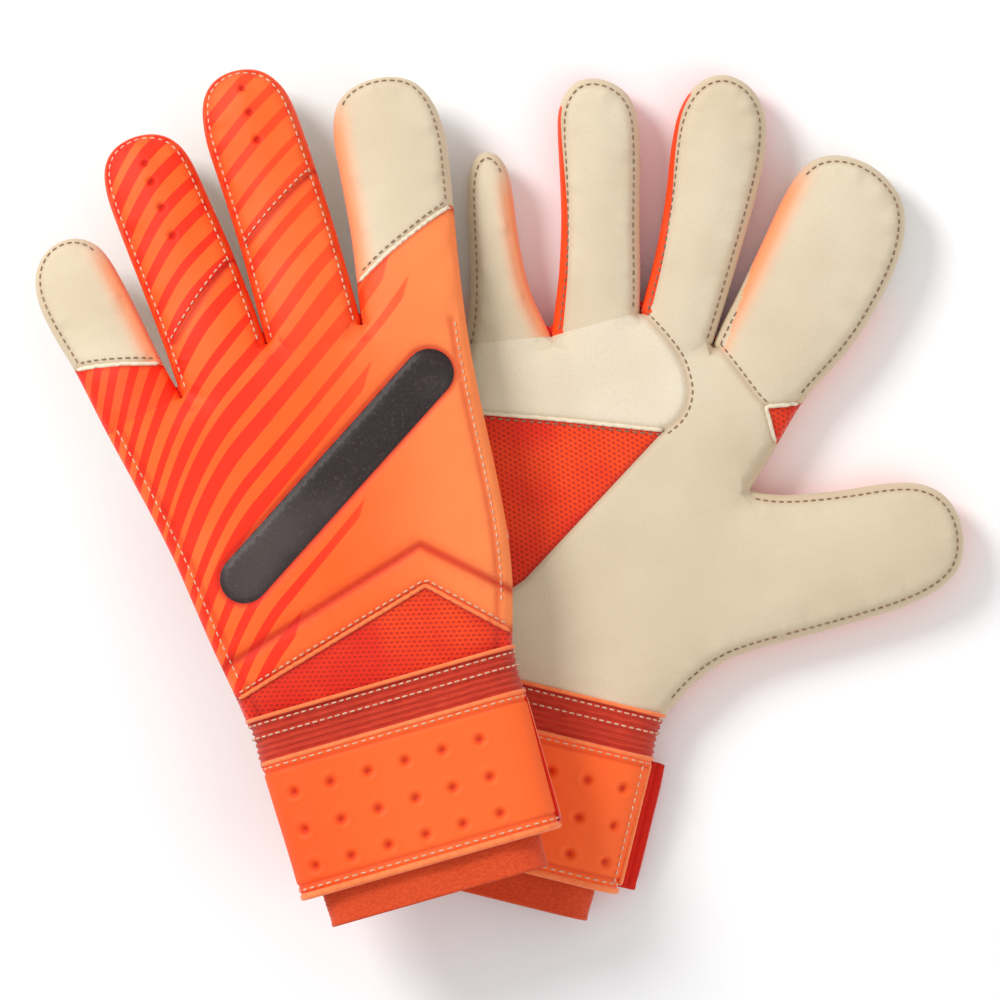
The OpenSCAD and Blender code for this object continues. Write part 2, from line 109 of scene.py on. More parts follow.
# silhouettes from the wrist's thumb side round to its little-finger side, one run from crotch to crotch
SILHOUETTE = {
    "left": [
        [(45.5, 13), (49, 25), (52.5, 37), (55.5, 55), (57, 74), (58.5, 100), (60, 117), (62.3, 134),
         (65.0, 150), (68.8, 170), (71.6, 186), (71.2, 199), (66.8, 208.8), (57, 212.8), (45.5, 212.4),
         (37.6, 207.5), (34.4, 196), (33.2, 181), (31.6, 163), (29.2, 147), (27, 133)],
        [(27, 133), (27.2, 150), (27, 170), (26.2, 190), (25.3, 208), (23.7, 219), (18, 226.8),
         (9.5, 229), (1, 228), (-5.2, 221.5), (-7.2, 208), (-6.2, 190), (-5.4, 168),
         (-5.5, 150), (-5.6, 135.6)],
        [(-5.6, 135.6), (-6.5, 150), (-8.5, 170), (-11.5, 190), (-13.3, 203), (-16, 211), (-22, 215.4),
         (-30, 216.4), (-38, 214.6), (-43.5, 208.5), (-44.4, 198), (-42.8, 181),
         (-40.7, 161), (-38.7, 141), (-38, 126)],
        [(-38, 126), (-41, 138), (-44.5, 158), (-48, 175), (-51, 184), (-57, 188.3), (-65, 188.5),
         (-72, 184.5), (-76, 177), (-76.3, 168), (-73.5, 155), (-69.8, 143), (-65.9, 123), (-62, 106),
         (-58.8, 92), (-55.2, 74), (-51, 42), (-47.5, 22), (-46.5, 13)],
    ],
    "right": [
        [(46, 13), (49.5, 21), (54.6, 30), (62, 38.5), (71.8, 44.7), (88, 53.5), (105.4, 63.3), (118, 71),
         (127.6, 79.2), (132.5, 87), (132, 96), (128, 105), (121, 111.5), (111.3, 113), (100, 109.5),
         (88.4, 104.3), (72, 98.5), (62, 96), (56.4, 96.4)],
        [(56.4, 96.4), (59, 104), (62.7, 117), (66.5, 130.1), (72, 140), (77.6, 150.1), (82.4, 163),
         (86.4, 179.5), (87.4, 192), (84, 205), (72.5, 213.2), (63, 215), (56.2, 214.3), (49.5, 211),
         (45.5, 203), (43, 193), (39.7, 175.6), (36, 158), (33, 147), (32.3, 141)],
        [(32.3, 141), (33.6, 165), (34.7, 191.7), (34.5, 208), (31.7, 222.2), (24, 230.5), (13.5, 232.7),
         (5.5, 227), (1.8, 216.6), (2.5, 203), (5.2, 184.5), (6.3, 165), (5.7, 146)],
        [(5.7, 146), (3, 158), (-1.7, 175.8), (-6, 195), (-10.8, 211.8), (-17, 219), (-27.5, 221),
         (-35.6, 217.5), (-38.4, 207), (-35, 195), (-31, 182), (-27.5, 169.5), (-24, 152), (-21.6, 131)],
        [(-21.6, 131), (-32.4, 144), (-38, 155), (-42.6, 165.8), (-47, 178), (-50.4, 184.7), (-55, 188),
         (-59.4, 188.2), (-62.2, 184.5), (-62.6, 177), (-59.4, 165), (-54.2, 148), (-50.6, 133), (-49.5, 121),
         (-50.5, 105), (-51, 92), (-50, 62), (-48, 36), (-46, 13)],
    ],
}
# knuckle line from the index side to the little finger, through the crotches
KNUCKLES = {
    "left": [(60.6, 125.2), (27, 133), (-5.6, 135.6), (-38, 126), (-65.9, 120.5)],
    "right": [(67, 131.5), (32.3, 141), (5.7, 146), (-21.6, 131), (-49.5, 121)],
}
KNUCKLE_LINES = ("knuckles", "thumb")
THUMB_KNUCKLE = [(79.5, 48.8), (56.4, 96.4)]
THUMB_WEB_SLOPE = 0.73
CHEVRON_TOP = [(-80, 25), (25.9, 55.9), (80, 6.4)]
CHEVRON_LOW = [(-80, 13.9), (23.8, 42.5), (80, -12.7)]
MESH_EDGE = [(23, 109), (-10.7, 48.7), (-30, 27), (-80, 24)]
PATCH_LOW = [(-80, 96), (-38, 100.2), (-10, 104.5), (23, 109)]
PATCH_ARC = [(23, 109), (28, 115.5), (28.2, 124), (23, 133.5), (15, 140)]
SIDE_MESH = [(80, 134), (54.5, 125.1), (60.4, 114.5), (70, 110)]
INDEX_SEAM = [(33.1, 141.7), (50.8, 127.3), (54.5, 125.1)]
BAND = ((-34, 61), (44.5, 110.5), 8.2)
FLEX = [((-2.9, 167.5), (25.2, 186.1)), ((-35.1, 143), (-9.1, 164.3))]
# dimples on the backs of the middle and ring fingers
FINGER_DIMPLES = [(9.8, 220), (10, 211), (10, 201), (-28.5, 204), (-28, 197), (-27, 187.5), (-26, 177)]

# spacing of the shell's mesh points: along seams, inside a panel, rows beside the silhouette, round a dimple
STEP = 1.3
GRID = 2.0
COLLARS = (0.35, 1.0, 1.9, 2.9, 3.9, 5.2, 6.8)
DIMPLE_RINGS = (0, 0.6, 1.2, 1.9, 2.7)
# how far a row of stitches lies beside each kind of seam, and the seams that are piped
STITCH_SHIFT = {"flex": 1.6, "chevron": 1.7, "arc": 1.7, "index_seam": 1.4, "roll": 1.8, "patch": -1.6}
PIPED = {"roll": "piping_cream", "chevron": "piping", "patch": "piping_cream", "side_mesh": "piping_cream"}
# groove beside each kind of seam: depth and width
GROOVES = {"strip": (0.25, 0.7), "flex": (1.1, 1.3), "band": (1.0, 1.3), "chevron": (1.3, 1.5),
           "roll": (0.8, 1.2), "index_seam": (0.5, 0.9)}
PLAIN_GROOVE = (0.7, 1.1)
# how far a panel stands proud of its neighbours
LEVEL = {"wrist_mesh": -1.1, "chevron_pad": 0.25, "accent_band": 0.35, "palm_mesh": -0.7, "palm_patch": 0.2}


# ---------------------------------------------------------------- paths and plane geometry
def smoothstep(t):
    t = np.clip(t, 0, 1)
    return t * t * (3 - 2 * t)


def rotated(p, angle):
    c, s = math.cos(angle), math.sin(angle)
    return np.stack([p[..., 0] * c - p[..., 1] * s, p[..., 0] * s + p[..., 1] * c], -1)


def unit(v):
    return v / np.maximum(np.linalg.norm(v, axis=-1, keepdims=True), 1e-12)


def run_length(path):
    """Distance along a path at each of its points."""
    return np.r_[0, np.cumsum(np.linalg.norm(np.diff(path, axis=0), axis=1))]


def at(path, run, t):
    """Values of a path's columns at distances t along it."""
    return np.stack([np.interp(t, run, column) for column in np.transpose(path)], -1)


def resampled(points, step):
    p = np.array(points, float)
    run = run_length(p)
    return at(p, run, np.linspace(0, run[-1], max(int(round(run[-1] / step)), 1) + 1))


def smooth_run(points, step=1.3, passes=22):
    q = resampled(points, step)
    for _ in range(passes):
        q[1:-1] = 0.5 * q[1:-1] + 0.25 * (q[:-2] + q[2:])
    return q


def left_way(path):
    """Unit vectors to the left of a plane path."""
    t = unit(np.gradient(path, axis=0))
    return np.stack([-t[:, 1], t[:, 0]], -1)


def line_distance(p, line):
    """Least distance from each point to a path."""
    p, line = np.asarray(p, float), np.asarray(line, float)
    ab = np.diff(line, axis=0)
    length2 = np.maximum((ab**2).sum(1), 1e-12)
    best = []
    for some in np.array_split(p, len(p) // 1500 + 1):
        ap = some[:, None] - line[None, :-1]
        t = np.clip((ap * ab).sum(2) / length2, 0, 1)
        best.append(((ap - t[..., None] * ab) ** 2).sum(2).min(1))
    return np.sqrt(np.concatenate(best))


def inside(p, loop):
    """Points inside a closed polygon, by crossings."""
    p, loop = np.asarray(p, float), np.asarray(loop, float)
    hit = np.zeros(len(p), bool)
    for a, b in zip(loop, np.roll(loop, -1, 0)):
        if a[1] != b[1]:
            crosses = (a[1] > p[:, 1]) != (b[1] > p[:, 1])
            hit ^= crosses & (p[:, 0] < (b[0] - a[0]) * (p[:, 1] - a[1]) / (b[1] - a[1]) + a[0])
    return hit


def below(p, line):
    """Points that lie nearer the wrist than a line drawn from left to right."""
    line = np.array(line)
    return p[:, 1] < np.interp(p[:, 0], line[:, 0], line[:, 1])


def runs_of(keep):
    """Index runs where keep holds."""
    edges = np.flatnonzero(np.diff(np.r_[0, keep.astype(int), 0]))
    return [np.arange(a, b) for a, b in zip(edges[::2], edges[1::2]) if b - a > 2]


# ---------------------------------------------------------------- the gloves' layout
def finger_uv(side, finger, p):
    """Position across and along a finger."""
    centre, lean = FINGERS[side][finger][:2]
    return rotated(np.asarray(p, float) - centre, -math.radians(lean))


def finger_xy(side, finger, uv):
    centre, lean = FINGERS[side][finger][:2]
    return rotated(np.asarray(uv, float), math.radians(lean)) + centre


def as_on_left(side, finger, p):
    """A spot on the left glove's finger, moved to the same finger of this glove."""
    return p if side == "left" else finger_xy(side, finger, finger_uv("left", finger, p))


def roll_seam(side, finger, across):
    """Height of a roll finger's slanting seam."""
    half, (low, high) = FINGERS[side][finger][3:]
    return (low + high) / 2 + (high - low) / (2 * half) * across


def part_of(side, p):
    """0 for the hand, 1 to 4 for the fingers, 5 for the thumb."""
    p = np.asarray(p, float)
    gap = []
    for finger in range(4):
        uv = finger_uv(side, finger, p)
        gap.append(np.hypot(uv[:, 0], uv[:, 1] - np.clip(uv[:, 1], 0, FINGERS[side][finger][2])))
    line = np.array(KNUCKLES[side][::-1])
    beyond = p[:, 1] > np.interp(p[:, 0], line[:, 0], line[:, 1])
    part = np.where(beyond, 1 + np.argmin(gap, 0), 0)
    if side == "right":
        (ax, ay), (bx, by) = THUMB_KNUCKLE
        out = (bx - ax) * (p[:, 1] - ay) - (by - ay) * (p[:, 0] - ax) < 0
        part[out & (p[:, 1] < by + THUMB_WEB_SLOPE * (p[:, 0] - bx))] = 5
    return part


def place(side, p):
    """Points in a glove's own frame, in millimetres, to the shared frame in metres."""
    p = np.array(p, float)
    if side == "left":
        part = part_of(side, p[:, :2])
        for finger in range(4):
            here = part == finger + 1
            uv = finger_uv(side, finger, p[here, :2])
            angle = -DROOP * smoothstep(uv[:, 1] / DROOP_RUN)
            v = uv[:, 1] * np.cos(angle) - p[here, 2] * np.sin(angle)
            p[here, 2] = uv[:, 1] * np.sin(angle) + p[here, 2] * np.cos(angle)
            p[here, :2] = finger_xy(side, finger, np.stack([uv[:, 0], v], -1))
        p[:, 1:] = rotated(p[:, 1:], -PITCH)
    else:
        p[:, 2] = -p[:, 2]
    turn, origin = LAY[side]
    p[:, :2] = rotated(p[:, :2], turn)
    return (p + origin) * MM


def placed_line(side, line):
    """Points and normals in a glove's frame, moved to the shared frame."""
    p, n = line
    base = place(side, p)
    return base, unit(place(side, p + n * 0.01) - base)


# ---------------------------------------------------------------- outlines and seams
def band_outline():
    """The accent: a straight bar with round ends."""
    a, b, half = np.array(BAND[0], float), np.array(BAND[1], float), BAND[2]
    start = math.atan2(*(b - a)[::-1])
    loop = []
    for centre, first in ((b, start - math.pi / 2), (a, start + math.pi / 2)):
        turn = first + np.linspace(0, math.pi, 13)
        loop.append(centre + half * np.stack([np.cos(turn), np.sin(turn)], -1))
    return np.concatenate(loop + [loop[0][:1]])


def palm_arc(side):
    """The patch's curved seam, up to the crotch of the middle and ring fingers."""
    return smooth_run(PATCH_ARC + [KNUCKLES[side][2]], 1.3, 10)


class Outline:
    """A glove's silhouette in the plane."""

    def __init__(self, runs):
        smooth = [smooth_run(run) for run in runs]
        self.rim = np.concatenate([s[:-1] for s in smooth[:-1]] + [smooth[-1]])
        self.inward = left_way(self.rim)
        wrist = resampled([self.rim[-1], self.rim[0]], 2.0)[1:-1]
        self.loop = np.concatenate([self.rim, wrist])

    def depth(self, p):
        return line_distance(p, self.rim)

    def offset(self, inset):
        """The rim moved in by inset (a number or one for each rim point), without what folds over."""
        q = self.rim + self.inward * np.broadcast_to(inset, len(self.rim))[:, None]
        return q, inside(q, self.loop) & (self.depth(q) > 0.93 * inset)


def strip_width(side, p, face):
    """How far a finger's side strip reaches in from the silhouette on the palm or the back."""
    part = part_of(side, p)
    width = np.zeros(len(p))
    for finger in (1, 2):
        here = part == finger + 1
        uv = finger_uv(side, finger, p[here])
        low = 1 - np.clip(uv[:, 1] / FINGERS[side][finger][2], 0, 1)
        width[here] = np.where((uv[:, 0] < 0) & (low > 0.12), 0.5 + 3.0 * low, 0) if face == "palm" else 1.3
    return width


def seams(side, face, outline):
    """Lines that the mesh follows: name, points."""
    lines = [("knuckles", KNUCKLES[side])]
    if side == "right":
        lines.append(("thumb", THUMB_KNUCKLE))
    if face == "back":
        for finger in (0, 3):
            reach = FINGERS[side][finger][3] + 12
            ends = [(x, roll_seam(side, finger, x)) for x in (-reach, reach)]
            line = resampled(finger_xy(side, finger, ends), STEP)
            lines.append(("roll", line[part_of(side, line) == finger + 1]))
        lines += [("chevron", CHEVRON_TOP), ("chevron", CHEVRON_LOW), ("band", band_outline())]
        for finger, ends in zip((1, 2), FLEX):
            lines.append(("flex", [as_on_left(side, finger, end) for end in ends]))
    else:
        lines += [("mesh", MESH_EDGE), ("patch", PATCH_LOW), ("arc", palm_arc(side))]
        if side == "right":
            lines += [("side_mesh", SIDE_MESH), ("index_seam", INDEX_SEAM)]
    width = strip_width(side, outline.rim, face)
    q, keep = outline.offset(np.maximum(width, 0.2))
    for run in runs_of(keep & (width > 0)):
        for part in (2, 3):
            piece = run[part_of(side, outline.rim[run]) == part]
            if len(piece) > 5:
                lines.append(("strip", q[piece]))
    return lines


def label_triangles(side, face, outline, centre):
    part = part_of(side, centre)
    hand = part == 0
    depth = outline.depth(centre)
    label = np.full(len(centre), "", dtype=object)
    if face == "back":
        label[hand] = "backhand"
        label[hand & below(centre, CHEVRON_TOP)] = "chevron_pad"
        label[hand & below(centre, CHEVRON_LOW)] = "wrist_mesh"
        label[hand & inside(centre, band_outline()[:-1])] = "accent_band"
    else:
        label[hand] = "palm_latex"
        label[hand & inside(centre, PATCH_LOW + MESH_EDGE[1:])] = "palm_mesh"
        loop = np.concatenate([PATCH_LOW, palm_arc(side)[1:], [(5, 175), (-80, 175)]])
        label[hand & inside(centre, loop)] = "palm_patch"
        if side == "right":
            label[hand & inside(centre, SIDE_MESH)] = "palm_mesh"
    for finger, name in enumerate(PARTS[1:5]):
        here = part == finger + 1
        if FINGERS[side][finger][4]:
            label[here] = name + "_roll"
            if face == "back":
                uv = finger_uv(side, finger, centre)
                label[here & (uv[:, 1] < roll_seam(side, finger, uv[:, 0]))] = name + "_back"
        else:
            label[here] = name + ("_back" if face == "back" else "_palm")
            label[here & (depth < strip_width(side, centre, face))] = name + "_sides"
    label[part == 5] = "thumb_back" if face == "back" else "thumb_latex"
    return label


def finger_dimples(side):
    return [as_on_left(side, 1 if p[0] > 0 else 2, p) for p in FINGER_DIMPLES]


# ---------------------------------------------------------------- the shell's mesh
def plane_tree(points):
    tree = KDTree(len(points))
    for i, p in enumerate(points):
        tree.insert((p[0], p[1], 0), i)
    tree.balance()
    return tree


def spread(group, least, taken, loop):
    """The points of a group inside the loop that stand clear of those taken and of each other."""
    tree = plane_tree(taken)
    fresh = np.array([p for p in group if tree.find((*p, 0))[2] > least]).reshape(-1, 2)
    cells = defaultdict(list)
    chosen = []
    for p in fresh[inside(fresh, loop)]:
        i, j = int(p[0] // least), int(p[1] // least)
        near = [q for di in (-1, 0, 1) for dj in (-1, 0, 1) for q in cells[(i + di, j + dj)]]
        if all((p[0] - q[0]) ** 2 + (p[1] - q[1]) ** 2 > (0.9 * least) ** 2 for q in near):
            cells[(i, j)].append(p)
            chosen.append(tuple(p))
    return chosen


def filling(side, face, outline, beside):
    """Groups of points for the inside of a face, with the least distance that each keeps."""
    if face == "back":
        ring = np.array([(r * math.cos(a), r * math.sin(a)) for r in DIMPLE_RINGS
                         for a in np.arange(8) * math.pi / 4 + r])
        beside = beside + [ring + spot for spot in finger_dimples(side)]
    groups = [(np.concatenate(beside), 0.5)]
    for inset in COLLARS:
        q, keep = outline.offset(inset)
        groups.append((q[keep], min(0.8, inset * 0.6)))
    wrist = resampled([outline.rim[-1], outline.rim[0]], GRID)[2:-2]
    groups.append((np.concatenate([wrist + (0, dy) for dy in (1.2, 2.8)]), 1.2))
    lo, hi = outline.loop.min(0), outline.loop.max(0)
    rows = np.arange(lo[1], hi[1], GRID * 0.87)
    grid = np.array([(x + (k % 2) * GRID / 2, y) for k, y in enumerate(rows)
                     for x in np.arange(lo[0], hi[0], GRID)])
    grid = grid[inside(grid, outline.loop)]
    return groups + [(grid[outline.depth(grid) > 7.6], 1.15)]


def face_mesh(side, face, outline):
    """Triangulates one face in the plane; returns points, triangles, labels and the seam lines."""
    points = [tuple(p) for p in outline.loop]
    edges = [(i, (i + 1) % len(points)) for i in range(len(points))]
    rim_tree = plane_tree(points)
    beside, seam_list = [], []
    for name, line in seams(side, face, outline):
        q = resampled(line, STEP)
        depth = outline.depth(q)
        for run in runs_of(inside(q, outline.loop) & (depth > (0.15 if name == "strip" else 0.8))):
            piece = q[run]
            ids = list(range(len(points), len(points) + len(piece)))
            points += [tuple(p) for p in piece]
            if name != "strip":
                start = [rim_tree.find((*piece[0], 0))[1]] if depth[run[0]] < 2.4 else []
                end = [rim_tree.find((*piece[-1], 0))[1]] if depth[run[-1]] < 2.4 else []
                ids = start + ids + end
            edges += list(zip(ids, ids[1:]))
            path = np.array([points[i] for i in ids])
            seam_list.append((name, path))
            if name not in KNUCKLE_LINES:
                beside += [path + left_way(path) * off for off in (-2.0, -1.0, 1.0, 2.0)]
    for group, least in filling(side, face, outline, beside):
        points += spread(group, least, points, outline.loop)
    out = delaunay_2d_cdt([Vector(p) for p in points], edges, [], 0, 1e-6)
    xy = np.array([tuple(v) for v in out[0]])
    tris = np.array([f for f in out[2] if len(f) == 3])
    a, b, c = xy[tris[:, 0]], xy[tris[:, 1]], xy[tris[:, 2]]
    area = (b[:, 0] - a[:, 0]) * (c[:, 1] - a[:, 1]) - (b[:, 1] - a[:, 1]) * (c[:, 0] - a[:, 0])
    tris[area < 0] = tris[area < 0][:, ::-1]
    centre = (a + b + c) / 3
    keep = inside(centre, outline.loop) & (np.abs(area) > 1e-7)
    return xy, tris[keep], label_triangles(side, face, outline, centre[keep]), seam_list


def edge_height(depth, radius=13.0, power=2.2):
    """Half thickness at a depth in from the silhouette."""
    t = 1 - np.clip(depth / radius, 0, 1)
    return HALF_T * (1 - t**power) ** (1 / power)


def relaxed(value, tris, hold, passes):
    """Evens a value out over the mesh, except where hold is true."""
    e = np.unique(np.sort(np.concatenate([tris[:, [0, 1]], tris[:, [1, 2]], tris[:, [2, 0]]]), 1), axis=0)
    count = np.bincount(e.ravel(), minlength=len(value))
    for _ in range(passes):
        total = np.bincount(e[:, 0], value[e[:, 1]], len(value))
        total += np.bincount(e[:, 1], value[e[:, 0]], len(value))
        value = np.where(hold, value, 0.4 * value + 0.6 * total / np.maximum(count, 1))
    return value


def bell(distance, width):
    return np.exp(-((distance / width) ** 2))


def wrinkle(xy, scale, seed):
    return np.array([noise.noise(Vector((x / scale, y / scale, seed))) for x, y in xy])


def face_heights(side, face, outline, xy, tris, labels, seam_list):
    """Half thickness with the panels' relief, how strongly each point is darkened by painted shade in grooves,
    hems and dimples, and its depth.
    """
    depth = outline.depth(xy)
    height = relaxed(edge_height(depth), tris, depth < 2.0, 26)
    part = part_of(side, xy)
    panel = np.full(len(xy), "", dtype=object)
    for k in range(3):
        panel[tris[:, k]] = labels
    fade = smoothstep(depth / 4)
    # the second value marks painted shade: darker colour along the seams' grooves, hems, dimples and the back's
    # edge groove
    relief, crease = np.zeros(len(xy)), np.zeros(len(xy))
    border = np.full(len(xy), 9.0)
    for name, path in seam_list:
        if name in KNUCKLE_LINES:
            continue
        distance = line_distance(xy, path)
        deep, wide = GROOVES.get(name, PLAIN_GROOVE)
        relief -= deep * bell(distance, wide) * (1 if name == "strip" else fade)
        crease = np.maximum(crease, bell(distance, wide * 1.05) * (0.45 if name == "strip" else 1))
        if name not in ("flex", "index_seam"):
            border = np.minimum(border, distance)
    level = np.array([LEVEL.get(name, 0.0) for name in panel])
    relief += level * smoothstep(border / 2.2) * fade
    stitched = (part > 0) | (face == "palm")
    stitched &= ~np.isin(panel, ["palm_mesh", "wrist_mesh", "index_back", "pinky_back"])
    hem = np.where(stitched, bell(depth - 2.5, 0.75), 0)
    rolled = np.array([name.endswith("_roll") and face == "back" for name in panel])
    relief -= 0.75 * hem * np.where(rolled, 0.6, 1)
    crease = np.maximum(crease, 0.5 * hem)
    height = height * (1 - 0.09 * smoothstep((24 - xy[:, 1]) / 10))
    if face == "back":
        edge = bell(depth - 5.0, 1.0) * (part == 0)
        relief -= 0.5 * edge
        crease = np.maximum(crease, 0.6 * edge)
        for spot in finger_dimples(side):
            distance = np.hypot(*(xy - spot).T)
            relief -= 1.9 * bell(distance, 1.35)
            crease = np.maximum(crease, 1.3 * bell(distance, 1.3))
        fold = wrinkle(rotated(xy, math.radians(-62)) * (1.0, 0.28), 9, 3.1)
        relief += np.where(panel == "wrist_mesh", 0.9 * fold * smoothstep(border / 5), 0)
    relief += 0.45 * wrinkle(xy, 26, 1.3 if side == "left" else 7.7) * fade
    relief += 0.16 * wrinkle(xy, 9, 4.3) * fade
    height = np.minimum(height + relief, HALF_T + 0.35)
    return np.maximum(height, 0), np.clip(crease, 0, 1), depth


def vertex_normals(v, tris):
    n = np.cross(v[tris[:, 1]] - v[tris[:, 0]], v[tris[:, 2]] - v[tris[:, 0]])
    out = np.zeros_like(v)
    for k in range(3):
        np.add.at(out, tris[:, k], n)
    return out / np.maximum(np.linalg.norm(out, axis=1), 1e-15)[:, None]


class Shell:
    """Both faces of one glove's hand as one mesh, with a label for each triangle."""

    def __init__(self, side):
        self.side = side
        self.outline = Outline(SILHOUETTE[side])
        self.seams = {}
        verts, tris, labels, crease, depth = [], [], [], [], []
        on_rim = {}
        for face, sign in (("back", 1), ("palm", -1)):
            xy, t, label, self.seams[face] = face_mesh(side, face, self.outline)
            h, cr, d = face_heights(side, face, self.outline, xy, t, label, self.seams[face])
            index = []
            for i, (x, y) in enumerate(xy):
                shared = d[i] < 1e-4
                key = (round(x, 3), round(y, 3)) if shared else (face, i)
                if key not in on_rim:
                    on_rim[key] = len(verts)
                    verts.append((x, y, HALF_T + (0 if shared else sign * h[i])))
                    crease.append(cr[i])
                    depth.append(d[i])
                index.append(on_rim[key])
            t = np.array(index)[t]
            tris.append(t[:, ::sign])
            labels.append(label)
        self.local, self.tris, self.labels = np.array(verts), np.concatenate(tris), np.concatenate(labels)
        self.crease, self.depth = np.array(crease), np.array(depth)
        self.tree = BVHTree.FromPolygons([tuple(v) for v in self.local], self.tris.tolist())
        self.placed = place(side, self.local)
        if side == "right":
            self.tris = self.tris[:, ::-1]
        self.normals = vertex_normals(self.placed, self.tris)

    def blush(self, used, name):
        """How strongly a roll finger's inner side is tinted pale orange, near its edge and low on the finger."""
        if not name.endswith("_roll_skin"):
            return np.zeros(len(used))
        finger, way = (0, -1) if "index" in name else (3, 1)
        u, v = finger_uv(self.side, finger, self.local[used, :2]).T
        near = 1 - smoothstep(self.depth[used] / 8.5)
        low = 1 - smoothstep((v - FINGERS[self.side][finger][2] + 22) / 16)
        return near * low * smoothstep((way * u + 2) / 8)

    def on_surface(self, xy, face, lift=0.0):
        """Points on a face above the given plane points, and their normals, in the shared frame."""
        up = 1 if face == "back" else -1
        spots, normals = [], []
        for x, y in xy:
            spot, normal = self.tree.ray_cast(Vector((x, y, HALF_T + up * 60)), Vector((0, 0, -up)))[:2]
            if spot is not None:
                normal = normal if normal.z * up > 0 else -normal
                spots.append(tuple(spot + normal * lift))
                normals.append(tuple(normal))
        return placed_line(self.side, (np.array(spots).reshape(-1, 3), np.array(normals).reshape(-1, 3)))


# ---------------------------------------------------------------- mesh objects
def new_object(name, verts, faces, material, uv=None, normals=None, **attributes):
    mesh = bpy.data.meshes.new(name)
    mesh.from_pydata([tuple(v) for v in verts], [], [tuple(int(i) for i in f) for f in faces])
    mesh.update()
    mesh.materials.append(material)
    mesh.shade_smooth()
    if uv is not None:
        loop = np.empty(len(mesh.loops), int)
        mesh.loops.foreach_get("vertex_index", loop)
        layer = mesh.uv_layers.new(name="UVMap")
        layer.data.foreach_set("uv", np.asarray(uv)[loop].astype(np.float32).ravel())
    for key, values in attributes.items():
        mesh.attributes.new(key, "FLOAT", "POINT").data.foreach_set("value", np.asarray(values, np.float32))
    if normals is not None:
        mesh.normals_split_custom_set_from_vertices([tuple(n) for n in normals])
    obj = bpy.data.objects.new(name, mesh)
    bpy.context.scene.collection.objects.link(obj)
    return obj


def two_layers(faces, n):
    """Faces of a closed solid: the outer ones, the same turned over n points on, and the walls between."""
    faces = [tuple(int(i) for i in f) for f in faces]
    edges = {(a, b) for f in faces for a, b in zip(f, f[1:] + f[:1])}
    walls = sorted((b, a, a + n, b + n) for a, b in edges if (b, a) not in edges)
    return faces + [tuple(i + n for i in f[::-1]) for f in faces] + walls


def skin_piece(shell, name, chosen, material, under=0.0, thick=1.6):
    """A panel of the shell with a real thickness: outer face, inner face and the cut edges between them."""
    used, tris = np.unique(shell.tris[chosen], return_inverse=True)
    v, normal = shell.placed[used], shell.normals[used]
    verts = np.concatenate([v - normal * under * MM, v - normal * (under + thick) * MM])
    return new_object(name, verts, two_layers(tris.reshape(-1, 3), len(used)), material,
                      np.tile(shell.local[used, :2] / 100, (2, 1)), np.concatenate([normal, -normal]),
                      crease=np.tile(shell.crease[used], 2),
                      rim=np.tile(np.clip(1 - shell.depth[used] / 6, 0, 1), 2),
                      blush=np.tile(shell.blush(used, name), 2))


def grid_quads(rows, across, wrap=False):
    corners = [(j * across + i, j * across + (i + 1) % across) for j in range(rows - 1)
               for i in range(across if wrap else across - 1)]
    return np.array([(a, b, b + across, a + across) for a, b in corners])


def halved(quads):
    return np.concatenate([quads[:, [0, 1, 2]], quads[:, [0, 2, 3]]])


def placed_solid(name, side, outer, inner, quads, material, uv, crease):
    """A closed solid from two layers of points in a glove's own frame."""
    faces = two_layers(quads, len(outer))
    if side == "right":
        faces = [f[::-1] for f in faces]
    verts = place(side, np.concatenate([outer, inner]))
    return new_object(name, verts, faces, material, np.tile(uv, (2, 1)), crease=np.tile(crease, 2))


def grid_solid(name, side, grid, thick, material):
    """A closed sheet of real thickness under a grid of points whose normals face out of the glove."""
    quads = grid_quads(*grid.shape[:2])
    flat = grid.reshape(-1, 3)
    inner = flat - vertex_normals(flat, halved(quads)) * thick
    return placed_solid(name, side, flat, inner, quads, material, flat[:, :2] / 100, np.zeros(len(flat)))


def tube(name, line, radius_mm, material, sides=8):
    """A closed tube along a line of (points, normals) in metres."""
    path, up = np.asarray(line[0]), np.asarray(line[1])
    t = unit(np.gradient(path, axis=0))
    across = unit(np.cross(t, up))
    up = np.cross(across, t)
    count = len(path)
    turn = 2 * math.pi * np.arange(sides) / sides
    verts = []
    for i in range(count):
        radius = radius_mm * MM * (0.45 if i in (0, count - 1) else 1)
        verts += [path[i] + radius * (math.cos(a) * across[i] + math.sin(a) * up[i]) for a in turn]
    faces = grid_quads(count, sides, wrap=True).tolist()
    faces += [range(sides)[::-1], range((count - 1) * sides, count * sides)]
    uv = np.array([(s * 10, k / sides) for s in run_length(path) for k in range(sides)])
    return new_object(name, verts, faces, material, uv)


def unit_stitch():
    """A unit stitch: long in x, round ends, slightly raised in the middle."""
    rings = [(-1.0, 0.35), (-0.82, 0.8), (-0.3, 1.0), (0.3, 1.0), (0.82, 0.8), (1.0, 0.35)]
    turn = np.arange(6) * math.pi / 3
    verts = [(x, r * math.cos(a), r * math.sin(a)) for x, r in rings for a in turn]
    return np.array(verts), grid_quads(6, 6, wrap=True).tolist() + [range(6)[::-1], range(30, 36)]


STITCH, STITCH_FACES = unit_stitch()


def stitches(name, lines, material, radius=0.3, pitch=2.7, half_length=0.85):
    """Separate stitches sunk halfway along lines of (points, normals) in metres; sizes in millimetres."""
    verts, faces = [], []
    u = STITCH * (half_length * MM, radius * MM, radius * MM)
    for path, normal in lines:
        if len(path) < 2:
            continue
        run = run_length(path)
        s = np.arange(pitch * MM / 2, run[-1], pitch * MM)
        t = unit(at(path, run, s + 0.3 * MM) - at(path, run, s - 0.3 * MM))
        b = unit(np.cross(at(normal, run, s), t))
        n = np.cross(t, b)
        for p, axes in zip(at(path, run, s) + n * 0.12 * MM, np.stack([t, b, n], 1)):
            faces += [tuple(i + len(verts) for i in f) for f in STITCH_FACES]
            verts += list(p + u @ axes)
    return new_object(name, verts, faces, material) if verts else None


